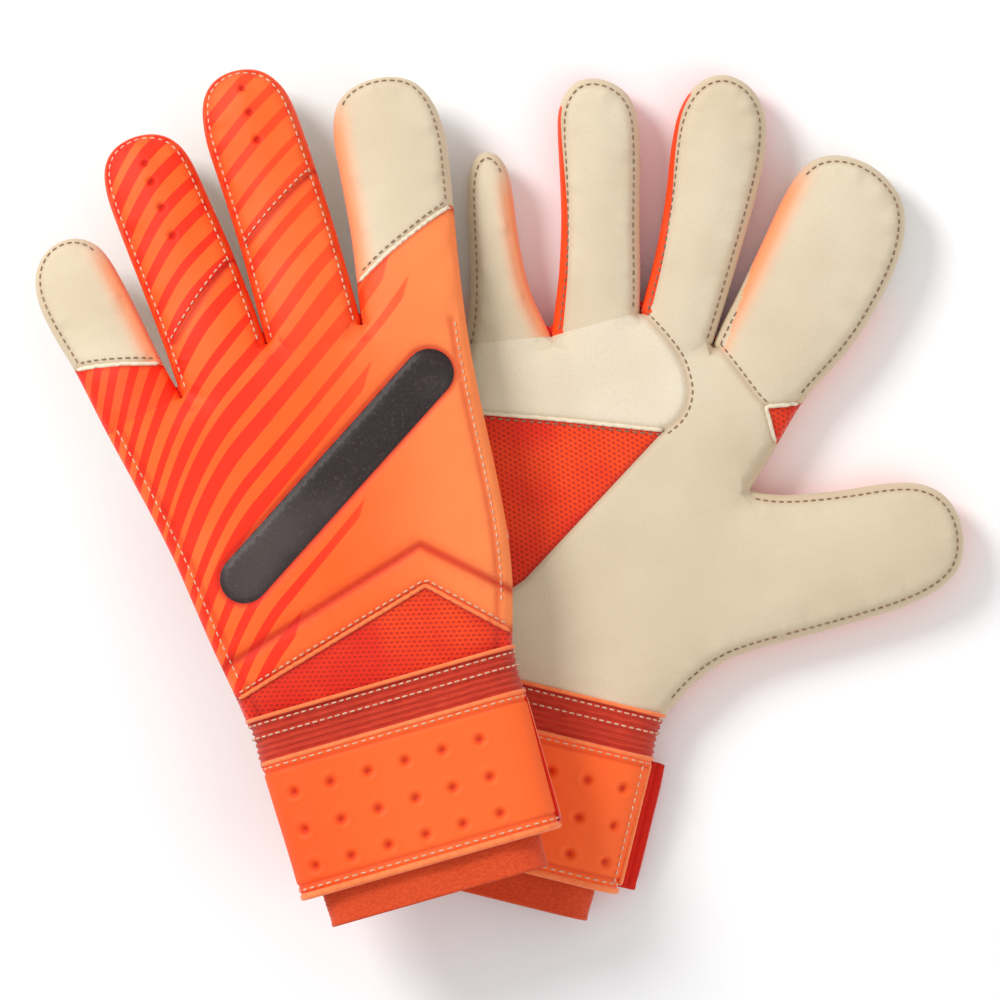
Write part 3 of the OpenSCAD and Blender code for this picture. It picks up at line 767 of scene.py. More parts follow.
# ---------------------------------------------------------------- materials
def srgb(r, g, b):
    linear = [((c / 255 + 0.055) / 1.055) ** 2.4 if c > 10 else c / 255 / 12.92 for c in (r, g, b)]
    return (*linear, 1.0)


class Value:
    """A value in a material; sums, differences, products and powers with it add math nodes."""

    def __init__(self, nodes, socket):
        self.nodes, self.socket = nodes, socket

    def __add__(self, other):
        return self.nodes.math("ADD", self, other)

    def __sub__(self, other):
        return self.nodes.math("SUBTRACT", self, other)

    def __rsub__(self, other):
        return self.nodes.math("SUBTRACT", other, self)

    def __mul__(self, other):
        return self.nodes.math("MULTIPLY", self, other)

    __radd__, __rmul__ = __add__, __mul__


class Nodes:
    """A material and the nodes that it is built from."""

    def __init__(self, name, roughness, **sockets):
        self.material = bpy.data.materials.new(name)
        self.material.use_nodes = True
        self.tree = self.material.node_tree
        self.shader = self.tree.nodes["Principled BSDF"]
        self.shader.inputs["Roughness"].default_value = roughness
        self.shader.inputs["Specular IOR Level"].default_value = 0.3
        for key, value in sockets.items():
            self.shader.inputs[key.replace("_", " ")].default_value = value

    def put(self, socket, value):
        if isinstance(value, Value):
            self.tree.links.new(value.socket, socket)
        else:
            socket.default_value = value

    def node(self, kind, inputs, output=0, **settings):
        node = self.tree.nodes.new("ShaderNode" + kind)
        for key, value in settings.items():
            setattr(node, key, value)
        for key, value in inputs.items():
            self.put(node.inputs[key], value)
        return Value(self, node.outputs[output])

    def math(self, operation, *values):
        return self.node("Math", dict(enumerate(values)), operation=operation)

    def uv(self, scale=(1, 1), turn=0.0):
        """Plane coordinates of the panel: unit 100 mm before the scale."""
        source = self.node("UVMap", {}, uv_map="UVMap")
        return self.node("Mapping", {0: source, "Rotation": (0, 0, turn), "Scale": (*scale, 1)})

    def split(self, vector):
        return [self.node("SeparateXYZ", {0: vector}, k) for k in (0, 1)]

    def noise(self, scale, detail, rough=0.5, vector=None):
        vector = vector or self.node("TexCoord", {}, "Object")
        sockets = {"Vector": vector, "Scale": scale, "Detail": detail, "Roughness": rough}
        return self.node("TexNoise", sockets, "Fac")

    def random(self, value):
        return self.node("TexWhiteNoise", {"W": value}, "Value", noise_dimensions="1D")

    def attribute(self, name):
        return self.node("Attribute", {}, "Fac", attribute_name=name)

    def mix(self, factor, a, b):
        return self.node("Mix", {0: factor, 6: a, 7: b}, 2, data_type="RGBA")

    def smooth(self, value, low, high):
        return self.node("MapRange", {0: value, 1: low, 2: high}, interpolation_type="SMOOTHSTEP")

    def finish(self, colour, height=None, depth_mm=0.0, strength=1.0):
        self.put(self.shader.inputs["Base Color"], colour)
        if height is not None:
            bump = {"Strength": strength, "Distance": depth_mm * MM, "Height": height}
            self.put(self.shader.inputs["Normal"], self.node("Bump", bump))
        return self.material


ORANGE = srgb(254, 93, 22)
PALE_ORANGE = srgb(255, 143, 80)
RED_ORANGE = srgb(246, 44, 4)
# a dark red used only as painted shade in the foam's grooves and dimples
SHADE_RED = srgb(196, 24, 4)
CREAM = srgb(221, 206, 179)
LIGHT_CREAM = srgb(232, 220, 197)
BEIGE = srgb(206, 184, 150)


def latex_material(name, base, shade):
    m = Nodes(name, 0.88, Sheen_Weight=0.15, Sheen_Roughness=0.6)
    fine, cloud = m.noise(1500, 2, 0.6), m.noise(22, 3)
    tone = m.mix(m.smooth(cloud, 0.3, 0.75), base, shade)
    tone = m.mix(m.smooth(fine, 0.45, 0.8) * 0.35, tone, BEIGE)
    tone = m.mix(m.smooth(m.attribute("rim"), 0.55, 0.66) * 0.55, tone, BEIGE)
    # painted shade: grooves, hems and dimples mixed towards a dark tan
    tone = m.mix(m.attribute("crease") * 0.5, tone, srgb(176, 140, 108))
    tone = m.mix(m.attribute("blush") * 0.85, tone, PALE_ORANGE)
    return m.finish(tone, fine + cloud * 0.6, 0.22, 0.6)


def printed_bars(m, x, y, share):
    """Where the printed diagonal bars lie: bent down at the little finger, cut off on a slanting front."""
    low = m.math("MAXIMUM", -0.22 - x, 0)
    angle = math.radians(35)
    band = (y * math.cos(angle) - x * math.sin(angle) + low * low * 1.1) * 11.5
    number, within = m.math("FLOOR", band), m.math("FRACT", band)
    width = m.random(number + 57.3) * 0.38 + (share - 0.19) + m.smooth(x, 0.05, -0.45) * 0.14
    edge = m.smooth(within, 0.02, 0.06) - m.smooth(within - width, 0.0, 0.05)
    reach = y * 0.62 + m.random(number) * 0.3 - 0.62 - x
    return edge * m.smooth(reach, 0.0, 0.012) * (m.smooth(x, 0.3, -0.2) * 0.4 + 0.6)


def foam_material(name, base, light, bars=None, share=0.5):
    """Moulded foam: printed diagonal bars on the little-finger side, and painted red shade in its grooves."""
    m = Nodes(name, 0.62, Coat_Weight=0.05, Coat_Roughness=0.5)
    x, y = m.split(m.uv())
    tone = m.mix(m.smooth(x + y * -0.12, -0.15, 0.62), base, light)
    tone = m.mix(m.smooth(m.noise(16, 3), 0.35, 0.8) * 0.3, tone, light)
    if bars:
        tone = m.mix(printed_bars(m, x, y, share), tone, bars)
    # painted shade: grooves and dimples mixed towards dark red
    tone = m.mix(m.attribute("crease") * 0.85, tone, SHADE_RED)
    return m.finish(tone, m.noise(1100, 2, 0.6), 0.12, 0.5)


def mesh_material(name, base, hole, pitch_mm=1.9):
    """Knitted mesh with staggered holes, painted dark inside as shade."""
    m = Nodes(name, 0.75, Sheen_Weight=0.25, Sheen_Roughness=0.5)
    x, y = m.split(m.uv((100 / pitch_mm, 100 / pitch_mm), math.radians(14)))
    y = y * 1.25
    shift = m.math("MODULO", m.math("ABSOLUTE", m.math("FLOOR", y)), 2) * 0.5
    u, v = m.math("FRACT", x + shift) - 0.5, m.math("FRACT", y) - 0.5
    hollow = m.smooth(m.math("SQRT", u * u + v * v * 1.6), 0.4, 0.2)
    tone = m.mix(m.smooth(m.noise(30, 3), 0.35, 0.7), base, srgb(228, 34, 4))
    # painted shade: the holes are coloured dark red as the shade seen through them
    tone = m.mix(hollow * 0.75, tone, hole)
    # painted shade: grooves mixed towards dark red
    tone = m.mix(m.attribute("crease") * 0.7, tone, srgb(150, 14, 4))
    return m.finish(tone, 1.0 - hollow, 0.5, 0.7)


def cloth_material(name, base, dark, scale, rough=0.85, stretch=(1, 1), amount=0.5, bump_mm=0.25):
    """Knitted or woven cloth: fine threads along one way, slow colour changes and painted shade in its grooves.
    """
    m = Nodes(name, rough, Sheen_Weight=0.3, Sheen_Roughness=0.45)
    thread = m.noise(1.0, 3, 0.6, m.uv((scale * stretch[0], scale * stretch[1])))
    tone = m.mix(m.smooth(thread, 0.35, 0.7) * amount, base, dark)
    tone = m.mix(m.smooth(m.noise(28, 3), 0.35, 0.8) * 0.3, tone, dark)
    # painted shade: grooves and rib troughs mixed towards dark red
    tone = m.mix(m.attribute("crease") * 0.8, tone, srgb(170, 20, 6))
    return m.finish(tone, thread, bump_mm, 0.8)


def piping_material(name, base, dark, rough=0.7):
    return cloth_material(name, base, dark, 120, rough, (0.3, 0.02), 0.4, 0.1)


def hook_material(name, base):
    m = Nodes(name, 0.9, Sheen_Weight=0.3)
    where = m.node("TexCoord", {}, "Object")
    cell = m.node("TexVoronoi", {"Vector": where, "Scale": 900}, "Distance")
    return m.finish(m.mix(m.smooth(cell, 0.1, 0.6), base, srgb(60, 16, 8)), cell, 0.5, 0.8)


def accent_material():
    m = Nodes("accent_dark", 0.5, Coat_Weight=0.1, Coat_Roughness=0.4)
    fine = m.noise(900, 2, 0.6)
    tone = m.mix(m.smooth(m.noise(20, 2), 0.35, 0.7), srgb(40, 28, 27), srgb(74, 64, 62))
    # painted shade: grooves mixed towards near black
    tone = m.mix(m.attribute("crease") * 0.6, tone, srgb(24, 12, 10))
    return m.finish(m.mix(m.smooth(fine, 0.5, 0.8) * 0.3, tone, srgb(105, 92, 88)), fine, 0.15, 0.6)


def thread_material(name, base, dark):
    m = Nodes(name, 0.7, Sheen_Weight=0.2)
    twist = m.noise(2600, 1)
    return m.finish(m.mix(m.smooth(twist, 0.35, 0.7), base, dark), twist, 0.1, 0.6)


MATERIAL = {
    "latex": latex_material("latex_cream", CREAM, srgb(211, 193, 164)),
    "latex_smooth": latex_material("latex_patch", LIGHT_CREAM, srgb(222, 208, 182)),
    "foam": foam_material("foam_orange", ORANGE, PALE_ORANGE, RED_ORANGE, 0.46),
    "foam_red": foam_material("foam_red", srgb(252, 84, 28), ORANGE, srgb(246, 38, 0)),
    "foam_plain": foam_material("foam_plain", ORANGE, PALE_ORANGE),
    "side": foam_material("foam_side", srgb(250, 74, 18), ORANGE),
    "mesh": mesh_material("mesh_orange", srgb(247, 72, 10), srgb(190, 26, 2)),
    "accent": accent_material(),
    "elastic": cloth_material("elastic_red", srgb(216, 66, 36), srgb(160, 26, 14),
                              30, 0.8, (0.6, 7), 0.55, 0.4),
    "sleeve": cloth_material("sleeve_orange", srgb(222, 82, 38), srgb(182, 44, 18),
                             55, 0.95, (1, 2.2), 0.5, 0.3),
    "strap": foam_material("strap_orange", srgb(252, 78, 12), srgb(254, 102, 36)),
    "lining": cloth_material("lining", srgb(214, 112, 80), srgb(170, 66, 40), 90, 0.95, (1, 1), 0.4, 0.2),
    "hook": hook_material("hook_loop", srgb(150, 46, 24)),
    "tab": cloth_material("tab_red", srgb(226, 34, 10), srgb(180, 18, 4), 60, 0.75, (3, 0.6), 0.4, 0.25),
    "thread": thread_material("thread_light", srgb(232, 200, 170), srgb(190, 140, 110)),
    "thread_brown": thread_material("thread_brown", srgb(158, 128, 100), srgb(110, 80, 62)),
    "piping": piping_material("piping_orange", srgb(255, 138, 78), srgb(238, 92, 36)),
    "piping_red": piping_material("piping_red", srgb(220, 34, 8), srgb(160, 14, 2)),
    "piping_cream": piping_material("piping_cream", srgb(238, 226, 200), srgb(206, 186, 152), 0.8),
}
SLOT = {
    "latex": "latex_cream", "latex_smooth": "latex_cream", "foam": "foam_orange", "foam_red": "foam_red",
    "foam_plain": "foam_orange", "side": "foam_red", "mesh": "mesh_orange", "accent": "accent_dark",
    "elastic": "elastic_red", "sleeve": "sleeve_orange", "strap": "strap_orange", "lining": "lining",
    "hook": "hook_loop", "tab": "tab_red",
}
LOOK = {
    "palm_latex": "latex", "palm_patch": "latex_smooth", "palm_mesh": "mesh", "backhand": "foam",
    "accent_band": "accent", "chevron_pad": "foam", "wrist_mesh": "mesh", "index_roll": "latex",
    "index_back": "foam", "middle_palm": "latex", "middle_back": "foam", "middle_sides": "side",
    "ring_palm": "latex", "ring_back": "foam", "ring_sides": "side", "pinky_roll": "latex",
    "pinky_back": "foam_red", "thumb_latex": "latex", "thumb_back": "foam_plain",
}


# ---------------------------------------------------------------- attaching pieces to the bodies, baking the others, hiding CAD parts
def follow(obj, side, part):
    """A piece of the hand rides on the hand's body; a finger's or thumb's piece has two points past its knuckle
    worked out and its transform baked.
    """
    if obj is None:
        return
    body = f"{side}_{PARTS[part]}"
    if part == 0:
        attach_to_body(obj, body)
        return
    finger = part - 1
    knuckle = THUMB_KNUCKLE if part == 5 else KNUCKLES[side][finger : finger + 2]
    first = max(float(finger_uv(side, finger, p)[1]) for p in knuckle) + 1
    ends = [(*finger_xy(side, finger, (0, v)), HALF_T) for v in (first, first + BEND_RUN)]
    start, end = place(side, ends)
    tuple(start)
    tuple(end)
    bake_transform(obj)


def follow_flap(obj, side):
    """A piece of the strap's opening part: two points along its sewn edge are worked out and its transform is
    baked.
    """
    start, end = place(side, [(-46.0, -23, 17.3), (-37.0, -23, 17.3)])
    tuple(start)
    tuple(end)
    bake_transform(obj)


def dress(obj, look, node):
    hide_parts(node)
    SLOT[look]


# ---------------------------------------------------------------- hands and fingers
HAND_PANELS = ("palm_latex", "palm_patch", "palm_mesh", "backhand", "accent_band", "chevron_pad",
               "wrist_mesh")
SHELL = {side: Shell(side) for side in LAY}
for side, shell in SHELL.items():
    for label in sorted(set(shell.labels)):
        look, name = LOOK[label], label.split("_")[0]
        piece = skin_piece(shell, f"{side}_{label}_skin", shell.labels == label, MATERIAL[look])
        follow(piece, side, PARTS.index(name) if name in PARTS[1:] else 0)
        dress(piece, look, f"{side}_{label}")
        look not in ("mesh", "side")
    hand = np.isin(shell.labels, HAND_PANELS)
    lining = skin_piece(shell, f"{side}_lining_cloth", hand, MATERIAL["lining"], 2.0, 0.6)
    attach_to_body(lining, f"{side}_hand")
    dress(lining, "lining", f"{side}_hand_lining")


# ---------------------------------------------------------------- stitches and piping on the hands
def rim_lines(side, inset, wanted):
    """Lines at a depth in from the silhouette, cut by part, for the wanted parts."""
    q, keep = SHELL[side].outline.offset(inset)
    for run in runs_of(keep):
        part = part_of(side, q[run])
        for ids in np.split(np.arange(len(run)), np.flatnonzero(np.diff(part)) + 1):
            if len(ids) > 3 and part[ids[0]] in wanted:
                yield part[ids[0]], q[run[ids]]


def sewn_stretch(side, part, piece, face):
    """A roll finger is stitched round its tip and down its outer side, and on the back beyond its seam."""
    if part == 0:
        return piece[(piece[:, 0] > 47) & (piece[:, 1] < 60)]
    if part not in (1, 4):
        return piece
    u, v = finger_uv(side, part - 1, piece).T
    keep = (u * (1 if part == 1 else -1) > -2) | (v > FINGERS[side][part - 1][2] - 12)
    if face == "back":
        keep &= v > roll_seam(side, part - 1, u) + 1.5
    return piece[keep]


def is_pad_top(name, path):
    """The chevron pad's upper edge, which is pressed and not sewn."""
    return name == "chevron" and not below(path[len(path) // 2][None] - (0, 4), CHEVRON_LOW)[0]


for side, shell in SHELL.items():
    depth = shell.outline.depth
    for face in ("back", "palm"):
        wanted = (1, 2, 3, 4) if face == "back" else (0, 1, 2, 3, 4, 5)
        group = rim_lines(side, 2.4, wanted)
        group = [(part, sewn_stretch(side, part, piece, face)) for part, piece in group]
        if face == "back":
            group += [(0, piece[piece[:, 1] > 30]) for _, piece in rim_lines(side, 3.8, (0,))]
        for name, path in shell.seams[face]:
            if name in STITCH_SHIFT and not is_pad_top(name, path):
                path = path if path[0][0] < path[-1][0] else path[::-1]
                moved = path + STITCH_SHIFT[name] * left_way(path)
                moved = moved[depth(moved) > 1.5]
                if len(moved) > 4:
                    group.append((part_of(side, moved)[len(moved) // 2], moved))
        lines = defaultdict(list)
        for part, piece in group:
            if len(piece) > 4:
                lines[part].append(shell.on_surface(piece, face))
        for part, group in lines.items():
            thread = MATERIAL["thread" if face == "back" and part in (0, 2, 3) else "thread_brown"]
            follow(stitches(f"{side}_{PARTS[part]}_{face}_stitches", group, thread), side, part)
    for k, (name, path) in enumerate(shell.seams["back"] + shell.seams["palm"]):
        face = "back" if k < len(shell.seams["back"]) else "palm"
        path = resampled(path, 1.2)
        path = path[depth(path) > 0.6]
        if name in PIPED and len(path) > 4 and not is_pad_top(name, path):
            part = part_of(side, path)[len(path) // 2]
            piece = f"{side}_{PARTS[part]}_{face}_piping_{k}"
            line = shell.on_surface(path, face, 0.15)
            follow(tube(piece, line, 0.75, MATERIAL[PIPED[name]]), side, part)


# ---------------------------------------------------------------- cuffs
def ring_profile(half_width, half_height, count=240):
    """Cross-section of a flat cuff, from the little-finger side over the back and under the palm."""
    x = half_width * np.sin(np.linspace(-math.pi / 2, math.pi / 2, 400))
    z = edge_height(half_width - np.abs(x)) * half_height / HALF_T
    loop = np.concatenate([np.stack([x, z], -1), np.stack([x[::-1], -z[::-1]], -1)[1:]])
    run = run_length(loop)
    return at(loop, run, np.linspace(0, run[-1], count + 1)[:-1])


def cuff(name, side, rows, look, thick, relief, centre_z, span=None):
    """A cuff swept through rows of (y, half width, half height). span picks part of the ring; relief gives
    displacement and how strongly painted shade darkens each point, from (x, y, z)."""
    pick = slice(None) if span is None else span
    grid = []
    for y, half_width, half_height in rows:
        ring = ring_profile(half_width, half_height)[pick]
        grid.append(np.stack([ring[:, 0], np.full(len(ring), y), ring[:, 1] + centre_z], -1))
    grid = np.array(grid)
    quads = grid_quads(*grid.shape[:2], wrap=span is None)
    flat = grid.reshape(-1, 3)
    normal = vertex_normals(flat, halved(quads))
    if (normal * (flat - (0, 0, centre_z)) * (1, 0, 1)).sum() < 0:
        quads, normal = quads[:, ::-1], -normal
    push, crease = relief(flat)
    uv = np.stack([np.tile(run_length(ring_profile(45, 10))[pick], len(rows)), flat[:, 1]], -1) / 100
    outer, inner = flat + normal * push[:, None], flat - normal * thick
    return placed_solid(name, side, outer, inner, quads, MATERIAL[look], uv, crease)


def cuff_line(side, y, half_width, half_height, lift, centre_z, arc):
    """A line of points and normals round a cuff, in the shared frame."""
    ring = ring_profile(half_width, half_height)[arc]
    normal = unit(np.stack([np.gradient(ring[:, 1]), np.zeros(len(ring)), -np.gradient(ring[:, 0])], -1))
    p = np.stack([ring[:, 0], np.full(len(ring), y), ring[:, 1] + centre_z], -1)
    middle = len(ring) // 2
    if (normal[middle] * (p[middle] - (0, y, centre_z))).sum() < 0:
        normal = -normal
    return placed_line(side, (p + normal * lift, normal))


def elastic_relief(p):
    """Ribs across the wrist, with small puckers; the second value is painted shade, darker in the ribs' troughs.
    """
    ribs = 0.32 * np.cos(p[:, 1] * 2 * math.pi / 2.1)
    pucker = 0.3 * wrinkle(np.stack([p[:, 0] * 2.4, p[:, 1] + p[:, 2]], -1), 8, 2.2)
    edge = smoothstep((14.6 - p[:, 1]) / 1.2) * smoothstep(p[:, 1] / 1.5)
    return (ribs + pucker) * edge, np.clip(0.5 - ribs, 0, 1) * 0.5


def sleeve_relief(p):
    """Fine ribs, a soft sag and the hem's roll."""
    ribs = 0.12 * np.cos(p[:, 1] * 2 * math.pi / 1.7)
    sag = 0.5 * wrinkle(np.stack([p[:, 0], p[:, 1] * 0.6 + p[:, 2]], -1), 17, 8.8)
    return ribs + sag + 0.35 * bell(p[:, 1] + 58.2, 0.9), np.zeros(len(p))


def strap_relief(side):
    """Three rows of round dimples between two sewn edges, with painted shade in the dimples and along the sewn
    lines.
    """
    columns = (-37.4 if side == "left" else -38.6) + 12.9 * np.arange(7)

    def relief(p):
        push = 0.25 * wrinkle(np.stack([p[:, 0], p[:, 1] + p[:, 2] * 1.5], -1), 22, 5.5)
        crease = np.zeros(len(p))
        for y in (-12.2, -25.2, -37.8):
            for x in columns[np.abs(columns) < 39.5]:
                d = np.hypot(p[:, 0] - x, p[:, 1] - y)
                push += 0.22 * bell(d - 3.0, 0.8) - 2.0 * bell(d, 1.5)
                crease = np.maximum(crease, bell(d, 1.25))
        for y in (-3.3, -42.8):
            push -= 0.55 * bell(p[:, 1] - y, 0.7)
            crease = np.maximum(crease, 0.5 * bell(p[:, 1] - y, 0.6))
        ends = np.minimum(np.abs(p[:, 1]), np.abs(p[:, 1] + 46))
        return push - 0.9 * (1 - smoothstep(ends / 1.6)), crease

    return relief


def attach(obj, side, on_flap):
    """A cuff's piece rides on the hand, or has its transform baked if it belongs to the strap's flap."""
    if on_flap:
        follow_flap(obj, side)
    else:
        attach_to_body(obj, f"{side}_hand")


STRAP_Z = 9.65
STRAP_ROWS = [(y, 45.9 + y * 0.02, 10.1) for y in np.linspace(-46, 0, 84)]
SLEEVE_ROWS = [(y, 39.8 + 2.6 * y / 59, 6.5) for y in np.linspace(-59, 0.5, 70)]
ELASTIC_ROWS = [(y, 46 + 0.02 * y - 0.6 * math.sin(y / 15 * math.pi), 9.35)
                for y in np.linspace(-1, 14.6, 58)]
# stretches of a cuff's ring, which has 240 points
FLAP_SPAN = np.arange(3, 119)
WRAP_SPAN = np.r_[np.arange(119, 240), np.arange(0, 4)]
BACK_ARC, PALM_ARC, WHOLE_RING = slice(4, 118), slice(121, 239), slice(None)
for side in LAY:
    dimples = strap_relief(side)
    for name, node, look, rows, thick, relief, centre_z, span in (
        ("elastic_ribs", "wrist_elastic", "elastic", ELASTIC_ROWS, 1.6, elastic_relief, HALF_T, None),
        ("sleeve_knit", "cuff_sleeve", "sleeve", SLEEVE_ROWS, 1.6, sleeve_relief, 9.6, None),
        ("strap_wrap_pad", "strap_wrap", "strap", STRAP_ROWS, 2.3, dimples, STRAP_Z, WRAP_SPAN),
        ("strap_flap_pad", "strap_flap", "strap", STRAP_ROWS, 2.3, dimples, STRAP_Z, FLAP_SPAN),
    ):
        piece = cuff(f"{side}_{name}", side, rows, look, thick, relief, centre_z, span)
        attach(piece, side, node == "strap_flap")
        dress(piece, look, f"{side}_{node}")
        look == "strap"
    for tag, arc in (("palm", PALM_ARC), ("back", BACK_ARC)):
        rows = [cuff_line(side, y, 45.8, 10.1, -0.1, STRAP_Z, arc) for y in (-1.9, -44.3)]
        binding = cuff_line(side, -0.3, 45.8, 9.9, 0, STRAP_Z, arc)
        lip = cuff_line(side, -46.6, 44.6, 9.2, 0, STRAP_Z, arc)
        for piece in (
            stitches(f"{side}_strap_{tag}_stitches", rows, MATERIAL["thread"], 0.28, 3.0, 0.95),
            tube(f"{side}_strap_{tag}_binding", binding, 0.8, MATERIAL["piping"]),
            tube(f"{side}_strap_{tag}_lip", lip, 1.25, MATERIAL["piping"], 10),
        ):
            attach(piece, side, tag == "back")
    rows = [cuff_line(side, y, 46, 9.35, 0.35, HALF_T, WHOLE_RING) for y in (13.0, 8.6)]
    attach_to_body(stitches(f"{side}_elastic_stitches", rows, MATERIAL["thread"], 0.3, 2.6, 0.9), f"{side}_hand")
    ring = [np.vstack([v, v[:1]]) for v in cuff_line(side, 14.9, 46.2, 9.5, 0.2, HALF_T, WHOLE_RING)]
    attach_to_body(tube(f"{side}_elastic_piping", ring, 0.7, MATERIAL["piping"]), f"{side}_hand")


# ---------------------------------------------------------------- tabs, hook and loop, crotches, tucked thumb
def pad_grid(x_range, y_range, z, corner, columns, rows, relief, seed):
    """A flat pad with rounded corners and a slightly uneven surface."""
    u, v = np.meshgrid(np.linspace(-1, 1, columns), np.linspace(-1, 1, rows))
    pull = (1 - math.sqrt(0.5)) * corner * (np.abs(u) * np.abs(v)) ** 6
    plane = []
    for (low, high), t in ((x_range, u), (y_range, v)):
        half = (high - low) / 2
        plane.append((low + high) / 2 + half * t * (1 - pull / half))
    height = z + relief * wrinkle(np.stack([axis.ravel() for axis in plane], -1), 1.6, seed)
    return np.stack([*plane, height.reshape(u.shape)], -1)


# the left thumb lies folded under the palm: where it is sewn on, its half widths, length and height
THUMB_ROOT_X = 54.5
SEWN_HALF, THUMB_HALF = 20.5, 16.8
THUMB_LENGTH, TIP_START, TIP_REACH = 43.6, 26, 17.7
THUMB_HIGH = 8.3
# share of its rows that lie in the web between the sewn edge and the thumb itself
WEB_SHARE = 0.35


def tucked_thumb(face):
    """One face of the left thumb, with its web."""
    web_root, root, angle = np.array([THUMB_ROOT_X, 71.0]), np.array([22.0, 78.0]), math.radians(69)
    along = np.array([-math.sin(angle), math.cos(angle)])
    wide = np.array([math.cos(angle), math.sin(angle)])
    s = np.sin(np.linspace(-math.pi / 2, math.pi / 2, 40))
    bulge = np.maximum(1 - np.abs(s) ** 2.6, 0) ** (1 / 2.6)
    rows = []
    for t in np.linspace(0, 1, 60):
        if t < WEB_SHARE:
            k = t / WEB_SHARE
            centre, way = web_root * (1 - k) + root * k, np.array([0.0, 1.0]) * (1 - k) + wide * k
            half = SEWN_HALF * (1 - k) + THUMB_HALF * k
            high = 1.5 + 6.8 * float(smoothstep((k - 0.35) / 0.65))
        else:
            v = (t - WEB_SHARE) / (1 - WEB_SHARE) * THUMB_LENGTH
            round_off = math.sqrt(max(1 - max((v - TIP_START) / TIP_REACH, 0) ** 2, 0.0))
            centre, way, half = root + along * v, wide, max(THUMB_HALF * round_off, 0.4)
            high = max(THUMB_HIGH * round_off**0.7, 0.4)
        z = -1.1 - high + (high if face == "top" else -high) * bulge
        rows.append(np.concatenate([centre + half * s[:, None] * way, z[:, None]], 1))
    return np.array(rows)[:, :: -1 if face == "top" else 1]


def facing(spots, normal):
    return spots, np.tile(normal, (len(spots), 1))


TAB_EDGE = 41.5
for side in LAY:
    hand_body, flap_body = f"{side}_hand", f"{side}_flap"
    reach, tab_z = {"left": (1.5, 11.8), "right": (6.6, 15.2)}[side]
    grid = pad_grid((TAB_EDGE, 44.6 + reach), (-45.4, -1.2), tab_z, 2.0, 14, 48, 0.1, 3.0)
    grid[..., 2] += 0.22 * np.cos(grid[..., 0] * 2.6) - 0.012 * np.maximum(grid[..., 0] - TAB_EDGE, 0) ** 2
    tab = grid_solid(f"{side}_tab_web", side, grid, 1.5, MATERIAL["tab"])
    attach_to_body(tab, flap_body)
    dress(tab, "tab", f"{side}_pull_tab")
    if side == "right":
        z = tab_z + 0.1 - 0.012 * (2.3 + reach) ** 2
        edge = np.array([(44.2 + reach - 0.4, y, z) for y in np.arange(-44, -2, 1.0)])
        edge = placed_line(side, facing(edge, (0, 0, 1.0)))
        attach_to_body(stitches(f"{side}_tab_stitches", [edge], MATERIAL["thread"], 0.25, 2.6, 0.8), flap_body)
    for tag, x in (("edge_binding", 45.4), ("edge_stitches", 43.2)):
        z = STRAP_Z - float(edge_height(np.array(45.6 - x))) * 1.01
        spots = np.array([(x, y, z) for y in np.arange(-44.6, -1.2, 1.1)])
        path, normal = placed_line(side, facing(spots, (0.4, 0, -1.0)))
        if tag == "edge_binding":
            piece = tube(f"{side}_strap_{tag}", facing(path, (0, 0, 1.0)), 0.9, MATERIAL["piping"], 10)
        else:
            piece = stitches(f"{side}_strap_{tag}", [(path, normal)], MATERIAL["thread"], 0.28, 2.8, 0.9)
        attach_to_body(piece, hand_body)
    loop_grid = pad_grid((4, 34), (-40, -6), 16.95, 3, 60, 68, 0.2, 2.0)
    loop_pad = grid_solid(f"{side}_loop_pile", side, loop_grid, 0.9, MATERIAL["hook"])
    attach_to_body(loop_pad, hand_body)
    dress(loop_pad, "hook", f"{side}_loop_patch")
    hook_grid = pad_grid((6, 32), (-38, -8), 17.65, 3, 52, 60, 0.1, 6.0)
    hook_pad = grid_solid(f"{side}_hook_pile", side, hook_grid, 0.5, MATERIAL["hook"])
    follow_flap(hook_pad, side)
    dress(hook_pad, "hook", f"{side}_hook_patch")
    rim = SHELL[side].outline.rim
    for k, crotch in enumerate(KNUCKLES[side][1:4]):
        first = int(np.argmin(np.hypot(*(rim - crotch).T)))
        part = rim[first - 3 : first + 4]
        spots = place(side, np.concatenate([part, np.full((len(part), 1), HALF_T)], 1))
        line = facing(spots, (0, 0, 1.0))
        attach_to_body(tube(f"{side}_crotch_gusset_{k}", line, 1.0, MATERIAL["piping_red"], 10), hand_body)

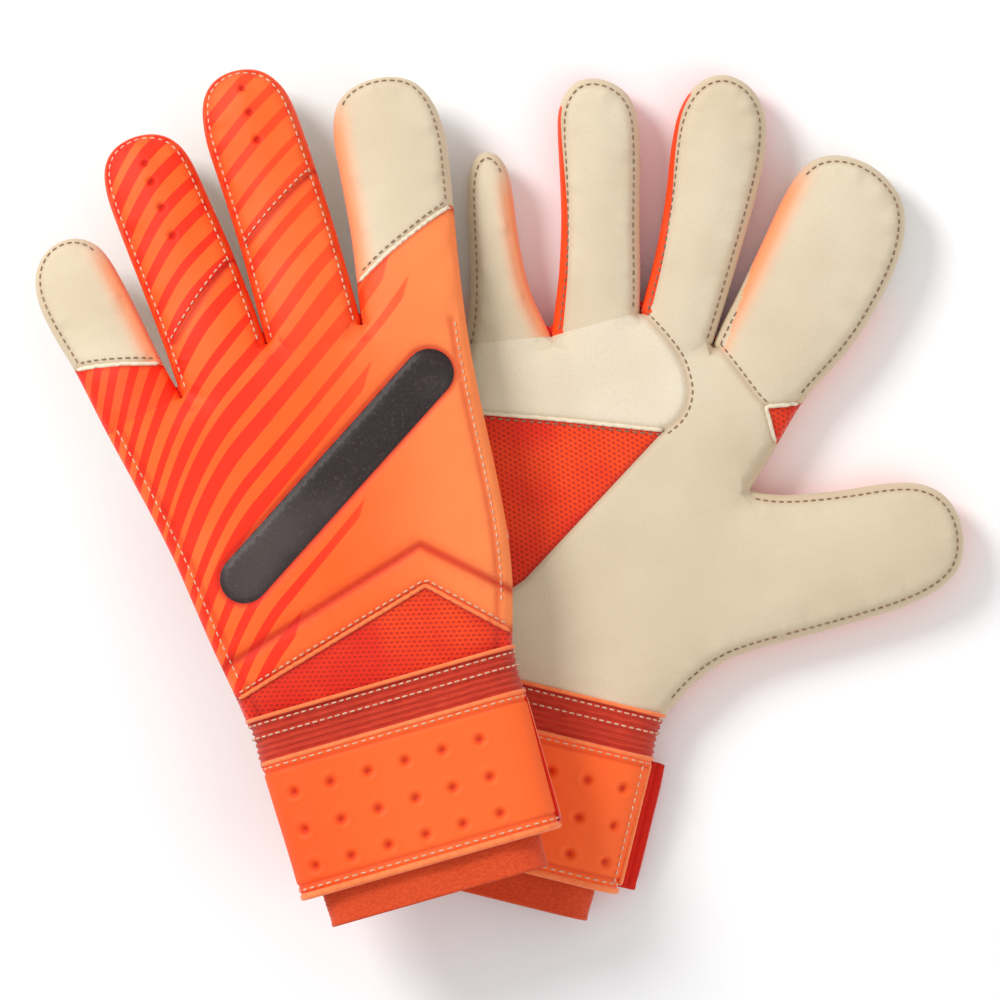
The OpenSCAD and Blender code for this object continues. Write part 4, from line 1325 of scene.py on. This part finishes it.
for face, name, look in (("top", "latex", "latex"), ("bottom", "back", "foam_plain")):
    skin = grid_solid(f"left_thumb_{name}_skin", "left", tucked_thumb(face), 1.3, MATERIAL[look])
    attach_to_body(skin, "left_thumb")
    dress(skin, look, f"left_thumb_{name}")


def thumb_web():
    """The sewn strip between the left hand's edge and the root of its tucked thumb."""
    rim = SHELL["left"].outline.rim
    rim = rim[(rim[:, 1] < 100) & (rim[:, 0] > 40)]
    # share of the rim's reach past the root, shift in x, height
    section = ((1, -0.9, 6.5), (1, -0.6, 3.5), (1, -0.8, 1.0),
               (0.6, 0.3, -1.4), (0.3, 0.4, -3.3), (0, -0.5, -4.3))
    rows = []
    for y in np.linspace(51, 91, 50):
        out = float(np.interp(y, rim[:, 1], rim[:, 0])) - THUMB_ROOT_X
        path = np.array([(THUMB_ROOT_X + out * share + shift, y, z) for share, shift, z in section])
        run = run_length(path)
        rows.append(at(path, run, np.linspace(0, run[-1], 14)))
    return np.array(rows)


web = grid_solid("left_thumb_web_gusset", "left", thumb_web(), 1.2, MATERIAL["latex"])
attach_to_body(web, "left_hand")


# ---------------------------------------------------------------- floor and light
def floor():
    """A pale floor just under the lowest piece."""
    m = Nodes("floor", 0.9)
    size, low = 3.0, min(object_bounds()[0][2], 0.0)
    corners = [(-size, -size, low), (size, -size, low), (size, size, low), (-size, size, low)]
    tone = m.mix(m.noise(3, 2), srgb(250, 250, 250), srgb(246, 246, 247))
    new_object("floor", corners, [(0, 1, 2, 3)], m.finish(tone))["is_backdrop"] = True


def area_light(name, location, size, power):
    light = bpy.data.lights.new(name, "AREA")
    light.shape = "DISK"
    light.size = size
    light.energy = power
    obj = bpy.data.objects.new(name, light)
    obj.location = location
    obj.rotation_euler = Vector(location).to_track_quat("Z", "Y").to_euler()
    bpy.context.scene.collection.objects.link(obj)


floor()
area_light("key", (-1.1, 0.9, 1.2), 0.7, 22)
area_light("fill", (1.2, -0.6, 1.3), 1.2, 5)
world = bpy.data.worlds.new("studio")
world.use_nodes = True
world.node_tree.nodes["Background"].inputs[0].default_value = (1, 1, 1, 1)
world.node_tree.nodes["Background"].inputs[1].default_value = 0.67
bpy.context.scene.world = world
